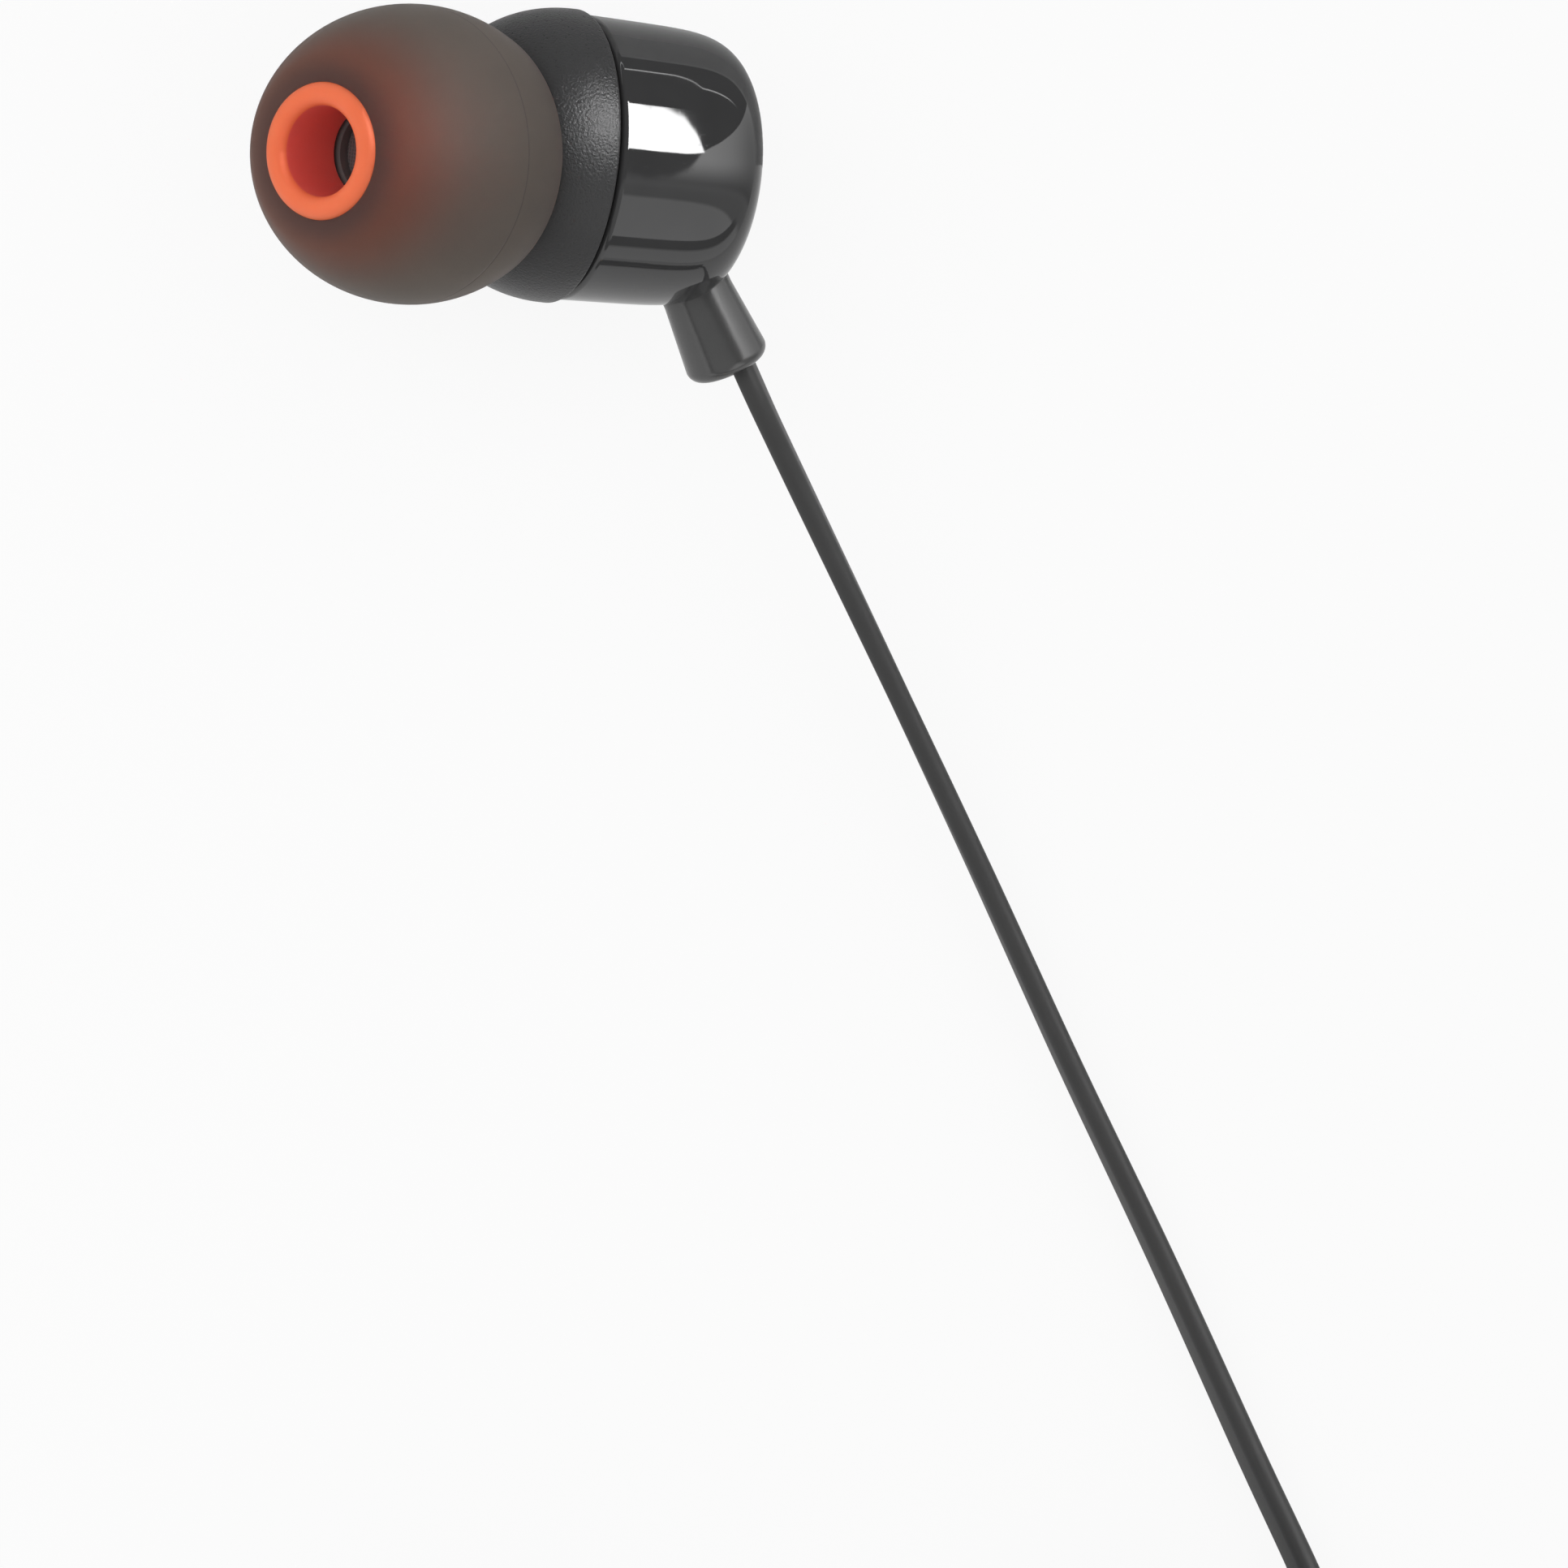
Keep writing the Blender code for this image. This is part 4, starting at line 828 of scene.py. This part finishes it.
def strap(name, center, coil, angle, node):
    """Strap drawn tight round the two layers of a coil: a flat band with round corners."""
    side = Vector((cos(angle), sin(angle)))
    middle = COIL_BASE + (CABLE_WIDTH + LAYER_PITCH) / 2
    edge = CABLE_THICKNESS / 2 + STRAP_FIT
    upper, lower = [], []
    for point in coil:
        away = point.xy - Vector(center)
        if away.angle(side) < STRAP_REACH:
            (upper if point.z > middle else lower).append(away.dot(side))
    high = COIL_BASE + CABLE_WIDTH + LAYER_PITCH + STRAP_FIT
    low = STRAP_THICKNESS
    corners = ((max(upper) + edge - STRAP_ROUND, high - STRAP_ROUND),
               (min(upper) - edge + STRAP_ROUND, high - STRAP_ROUND),
               (min(lower) - edge + STRAP_ROUND, low + STRAP_ROUND),
               (max(lower) + edge - STRAP_ROUND, low + STRAP_ROUND))
    inner, outer = [], []
    for quarter, (x, z) in enumerate(corners):
        for outline, reach in ((inner, STRAP_ROUND), (outer, STRAP_ROUND + STRAP_THICKNESS)):
            outline += arc(x, z, reach, reach, quarter * 90, quarter * 90 + 90, 8)
    half = STRAP_WIDTH / 2
    path = ((inner, -half), (outer, -half), (outer, half), (inner, half))
    rings = [[(x, y, z) for x, z in outline] for outline, y in path]
    where = (Matrix.Translation(LAYOUT_SHIFT + Vector((*center, 0.0)))
             @ Matrix.Rotation(angle, 4, "Z"))
    return fit(lofted(name, rings, endless=True), where, STRAP, "root", "soft_black", node)


def splitter():
    """Moulded joint of the cables: a rounded block, narrower at the trunk end."""
    rings = []
    tall = SPLITTER_HEIGHT / 2
    flare = SPLITTER_WIDTH - SPLITTER_TRUNK_WIDTH
    for index in range(SPLITTER_STATIONS + 1):
        along = -SPLITTER_LENGTH / 2 * cos(pi * index / SPLITTER_STATIONS)
        share = along / SPLITTER_LENGTH + 0.5
        wide = (SPLITTER_TRUNK_WIDTH + flare * smoothstep(share)) / 2
        inset = max(0.0, SPLITTER_ROUND - (SPLITTER_LENGTH / 2 - abs(along)))
        drop = SPLITTER_ROUND - sqrt(SPLITTER_ROUND ** 2 - inset ** 2)
        ring = arc(0.0, tall, wide - drop, tall - drop, 0, 360, SPLITTER_POINTS, SPLITTER_SQUARENESS)
        rings.append([(along, across, height) for across, height in ring[:-1]])
    where = Matrix.Translation(LAYOUT_SHIFT + SPLITTER_PLACE)
    return fit(lofted("splitter_moulding", rings), where, RUBBER, "root", "soft_black",
               "cable_splitter")


def plug():
    """Straight plug: handle, ribbed boot, and stacked contacts and insulators. Gives its pieces."""
    stand = (Matrix.Translation(LAYOUT_SHIFT + PLUG_PLACE) @ Matrix.Rotation(PLUG_YAW, 4, "Z")
             @ Matrix.Rotation(pi / 2, 4, "Y"))
    low = BOOT_LENGTH + CLEAR
    high = low + GRIP_LENGTH
    front = GRIP_FRONT_RADIUS + GRIP_ROUND / 2
    body = [(0.0, high)]
    body += arc(front - GRIP_ROUND, high - GRIP_ROUND, GRIP_ROUND, GRIP_ROUND, 90, 0, 8)
    for index in range(1, GRIP_STATIONS):
        share = index / GRIP_STATIONS
        waist = GRIP_WAIST * sin(pi * share) ** 2
        radius = front + (GRIP_RADIUS - front) * share
        body.append((radius - waist, high - GRIP_ROUND - (GRIP_LENGTH - 2 * GRIP_ROUND) * share))
    body += arc(GRIP_RADIUS - GRIP_ROUND, low + GRIP_ROUND, GRIP_ROUND, -GRIP_ROUND, 0, 90, 8)
    body.append((0.0, low))
    boot = [(0.0, BOOT_LENGTH)]
    for index in range(BOOT_STATIONS + 1):
        share = index / BOOT_STATIONS
        rib = smoothstep(4 * abs((share * BOOT_RIBS) % 1 - 0.5) - 0.5)
        radius = BOOT_RADIUS + (BOOT_END_RADIUS - BOOT_RADIUS) * share - BOOT_RIB_DEPTH * rib
        boot.append((radius, BOOT_LENGTH * (1 - share)))
    boot.append((0.0, 0.0))
    pieces = [fit(turned("plug_handle", body), stand, RUBBER, "root", "soft_black", "plug_grip"),
              fit(turned("plug_boot", boot, SMALL_TURN_STEPS), stand, RUBBER, "root", "soft_black",
                  "plug_tail")]
    start = high + CONTACT_GAP
    bands = (("plug_contact_sleeve", PLUG_SLEEVE_LENGTH, GOLD, "contact_gold", "plug_sleeve"),
             ("plug_band_rear", PLUG_INSULATOR, INSULATOR, "insulator_black", "plug_insulator_rear"),
             ("plug_contact_ring", PLUG_RING_LENGTH, GOLD, "contact_gold", "plug_ring"),
             ("plug_band_front", PLUG_INSULATOR, INSULATOR, "insulator_black", "plug_insulator_front"))
    edge = CONTACT_GAP / 2
    for name, length, finish, slot, node in bands:
        top = arc(PLUG_RADIUS - edge, start + length - edge, edge, edge, 90, 0, 4)
        foot = arc(PLUG_RADIUS - edge, start + edge, edge, -edge, 0, 90, 4)
        band = [(0.0, start + length)] + top + foot + [(0.0, start)]
        pieces.append(fit(turned(name, band, SMALL_TURN_STEPS), stand, finish, "root", slot, node))
        start += length + CONTACT_GAP
    end = high + PLUG_LENGTH
    room = end - start
    bulge = room * PLUG_TIP_BULGE_ROUND
    point = [(0.0, end)]
    point += arc(PLUG_POINT_ROUND, end - PLUG_POINT_ROUND, PLUG_POINT_ROUND, PLUG_POINT_ROUND,
                 90, 20, 6)
    point += arc(PLUG_RADIUS - bulge, start + room * PLUG_TIP_BULGE, bulge, bulge, 45, -30, 6)
    point += [(PLUG_NECK_RADIUS, start + room * share) for share in PLUG_TIP_NECK]
    point += [(PLUG_RADIUS, start + room * PLUG_TIP_SHOULDER), (PLUG_RADIUS, start), (0.0, start)]
    pieces.append(fit(turned("plug_contact_tip", point, SMALL_TURN_STEPS), stand, GOLD, "root",
                      "contact_gold", "plug_tip"))
    return pieces


def route_points(points):
    """A route's points in metres."""
    return [Vector(point) * MM for point in points]


def outlet_start(outlet, turn):
    """First two points of a cable: inside its sleeve, and one width clear of it."""
    into = Matrix.Translation(-LAYOUT_SHIFT) @ outlet
    return [into @ Vector((0.0, turn * CABLE_OFFSET, SLEEVE_LENGTH + along))
            for along in (-CABLE_INSET, CABLE_WIDTH)]


def aim(obj, place, target, up):
    """Turns a camera or lamp at a place towards a target."""
    back = (place - target).normalized()
    right = up.cross(back).normalized()
    turn = Matrix((right, back.cross(right), back)).transposed().to_4x4()
    obj.matrix_world = Matrix.Translation(place) @ turn


def add_camera():
    """Camera at the photo's viewing angle."""
    to_camera = Vector((-cos(VIEW_ELEVATION), 0.0, sin(VIEW_ELEVATION)))
    right = Vector((sin(VIEW_ELEVATION), 0.0, cos(VIEW_ELEVATION)))
    up = Vector((0.0, 1.0, 0.0))
    seam = LAYOUT_SHIFT + RIGHT_PLACE
    target = seam - right * SEAM_RIGHT_OF_MIDDLE - up * SEAM_ABOVE_MIDDLE
    data = bpy.data.cameras.new("camera")
    data.sensor_width = SENSOR
    data.lens = SENSOR * POINTS_PER_MM * (VIEW_DISTANCE / MM) / FRAME_POINTS
    data.clip_start = NEAR_CLIP
    camera = shown(bpy.data.objects.new("camera", data))
    aim(camera, target + to_camera * VIEW_DISTANCE, target, up)
    bpy.context.scene.camera = camera


add_camera()
right_outlet = earpiece("right", -1, RIGHT_PLACE, RIGHT_YAW, RIGHT_ROLL)
left_outlet = earpiece("left", 1, LEFT_PLACE, LEFT_YAW, LEFT_ROLL)
SECTION = cable_section()
joint = splitter()
plug_pieces = plug()

right_coil = coil_points(RIGHT_COIL, RIGHT_COIL_RADIUS, RIGHT_COIL_TURNS, RIGHT_COIL_START,
                         CLOCKWISE)
left_coil = coil_points(LEFT_COIL, LEFT_COIL_RADIUS, LEFT_COIL_TURNS, LEFT_COIL_START,
                        ANTICLOCKWISE)
trunk_coil = coil_points(TRUNK_COIL, TRUNK_COIL_RADIUS, TRUNK_COIL_TURNS, TRUNK_COIL_START,
                         CLOCKWISE)
right_strap = strap("right_strap", RIGHT_COIL, right_coil, RIGHT_STRAP_ANGLE, "right_cable_coil_tie")
left_strap = strap("left_strap", LEFT_COIL, left_coil, LEFT_STRAP_ANGLE, "left_cable_coil_tie")
trunk_strap = strap("trunk_strap", TRUNK_COIL, trunk_coil, TRUNK_STRAP_ANGLE, "trunk_cable_coil_tie")
middle = SPLITTER_PLACE + Vector((0.0, 0.0, SPLITTER_HEIGHT / 2))
inside = SPLITTER_LENGTH / 2 - CABLE_INSET
outside = SPLITTER_LENGTH / 2 + CABLE_WIDTH
upper_end = [middle + Vector((along, BRANCH_SPACING / 2, 0.0)) for along in (outside, inside)]
lower_end = [middle + Vector((along, -BRANCH_SPACING / 2, 0.0)) for along in (outside, inside)]
trunk_end = [middle + Vector((-along, 0.0, 0.0)) for along in (inside, outside)]
plug_back = Vector((-cos(PLUG_YAW), -sin(PLUG_YAW), 0.0))
plug_entry = [PLUG_PLACE + plug_back * along for along in (CABLE_WIDTH, -CABLE_INSET)]

right_route = cable_route(outlet_start(right_outlet, -1) + route_points(RIGHT_LEAD), right_coil,
                          route_points(RIGHT_LINK) + upper_end)
left_route = cable_route(outlet_start(left_outlet, 1) + route_points(LEFT_LEAD), left_coil,
                         route_points(LEFT_LINK) + lower_end)
trunk_route = cable_route(trunk_end, trunk_coil, route_points(TRUNK_TAIL) + plug_entry)
right_cord = cord("right_cord", right_route, LEAN_AT_OUTLET,
                  "right_cable_lead", "right_cable_coil", "right_cable_link")
left_cord = cord("left_cord", left_route, 0.0,
                 "left_cable_lead", "left_cable_coil", "left_cable_link")
trunk_cord = cord("trunk_cord", trunk_route, 0.0,
                  "trunk_cable_lead", "trunk_cable_coil", "trunk_cable_tail")
[trunk_strap] + plug_pieces


def flat_sheet(name, size, place):
    """A flat square sheet of the stage."""
    form = bmesh.new()
    bmesh.ops.create_grid(form, x_segments=1, y_segments=1, size=size / 2)
    sheet = shown(solid(name, form))
    sheet.location = place
    return sheet


def add_floor():
    """White floor that keeps the shadow of what lies on it."""
    floor = flat_sheet("floor", FLOOR_SIZE, Vector((0.0, 0.0, -FLOOR_DROP)))
    material = bpy.data.materials.new("white_floor")
    material.use_nodes = True
    paint = Surface(material.node_tree)
    seen = paint.node("ShaderNodeLightPath", output="Is Camera Ray")
    gloss = paint.node("ShaderNodeLightPath", output="Is Glossy Ray")
    through = paint.node("ShaderNodeLightPath", output="Is Transmission Ray")
    grey = (FLOOR_GREY, FLOOR_GREY, FLOOR_GREY, 1.0)
    matt = paint.node("ShaderNodeBsdfDiffuse", None, {"Color": grey})
    glow = paint.node("ShaderNodeEmission", None, {"Color": (1.0, 1.0, 1.0, 1.0), "Strength": 1.0})
    share = seen * FLOOR_GLOW_SEEN + gloss * FLOOR_GLOW_REFLECTED + through * FLOOR_GLOW_REFLECTED
    mixed = paint.node("ShaderNodeMixShader", None, {0: share, 1: matt, 2: glow})
    paint.tree.links.new(mixed.socket, paint.tree.nodes["Material Output"].inputs["Surface"])
    floor.data.materials.append(material)


def add_painted_shade_card():
    """Grey card on the floor behind the right earpiece, seen only in reflections: painted shade there.
    """
    place = LAYOUT_SHIFT + Vector((0.0, CARD_SIZE / 2, -CARD_DROP))
    card = flat_sheet("painted_shade_card", CARD_SIZE, place)
    grey = Finish("painted_shade_card", Base_Color=(CARD_GREY, CARD_GREY, CARD_GREY, 1.0))
    card.data.materials.append(grey.material)
    card.visible_camera = False
    card.visible_diffuse = False
    card.visible_shadow = False
    card.visible_transmission = False


def add_surround():
    """Even light from all round, and a dim room in reflections.

    The room has a softbox, three pale walls, a dark slit between two of them, and a thin bright gap.
    """
    world = bpy.data.worlds.new("surround")
    bpy.context.scene.world = world
    world.use_nodes = True
    sky = Surface(world.node_tree)
    seen = sky.node("ShaderNodeLightPath", output="Is Camera Ray")
    gloss = sky.node("ShaderNodeLightPath", output="Is Glossy Ray")
    toward = sky.node("ShaderNodeTexCoord", output="Generated")
    x, y, z = toward.part(0), toward.part(1), toward.part(2)
    near = 0.0 - y
    aside = y.maths("ARCTAN2", y, z)
    climb = SOFTBOX_CLIMB * x.maths("MAXIMUM", x - SOFTBOX_CLIMB_FROM, 0.0)
    softbox = (x.rise(*SOFTBOX_LEFT) * x.fall(*SOFTBOX_RIGHT)
               * (aside - climb).rise(*SOFTBOX_LOW) * aside.fall(*SOFTBOX_HIGH))
    bend = y.maths("MAXIMUM", y - RIGHT_WALL_BEND_FROM, 0.0)
    right_wall = (x - RIGHT_WALL_LEAN * y - RIGHT_WALL_BEND * bend * bend).rise(*RIGHT_WALL_EDGE)
    right_glow = (y.rise(*RIGHT_WALL_FADE_UP) ** 2
                  * (RIGHT_WALL_AT_MIDDLE - RIGHT_WALL_FADE_ACROSS * x))
    near_wall = ((near - NEAR_WALL_LEAN * x).rise(*NEAR_WALL_EDGE) * z.rise(*NEAR_WALL_LOW)
                 * x.rise(*NEAR_WALL_LEFT))
    below = near.rise(*LOW_WALL_EDGE)
    low_wall = below * z.fall(*LOW_WALL_HIGH)
    slit = below * z.rise(*SLIT_LOW) * z.fall(*SLIT_HIGH)
    gap_height = GAP_HEIGHT + GAP_CLIMB * x.rise(*GAP_CLIMB_SPAN)
    gap = abs(z - gap_height).fall(*GAP_EDGE) * y.rise(*GAP_START) * x.fall(*GAP_RIGHT)
    room = HAZE_LIGHT + NEAR_HAZE_LIGHT * near.rise(*NEAR_HAZE_EDGE)
    for light, shape in ((SOFTBOX_LIGHT, softbox), (RIGHT_WALL_LIGHT, right_wall * right_glow),
                         (NEAR_WALL_LIGHT, near_wall), (LOW_WALL_LIGHT, low_wall),
                         (SLIT_LIGHT, slit), (GAP_LIGHT, gap)):
        room = room + light * shape
    background = sky.tree.nodes["Background"]
    background.inputs["Color"].default_value = (1.0, 1.0, 1.0, 1.0)
    strength = FILL_LIGHT + seen * (1.0 - FILL_LIGHT) + gloss * (room - FILL_LIGHT)
    sky.tree.links.new(strength.socket, background.inputs["Strength"])


def add_lamp():
    """Soft key lamp above the right earpiece, on the side of its tip."""
    data = bpy.data.lights.new("key_lamp", "AREA")
    data.size = KEY_SIZE
    data.energy = KEY_POWER
    lamp = shown(bpy.data.objects.new("key_lamp", data))
    target = LAYOUT_SHIFT + RIGHT_PLACE
    aim(lamp, target + KEY_SIDE * KEY_DISTANCE, target, Vector((0.0, 1.0, 0.0)))
    lamp.visible_glossy = False


bpy.context.scene.view_settings.view_transform = "Standard"
add_floor()
add_painted_shade_card()
add_surround()
add_lamp()
bpy.context.view_layer.update()
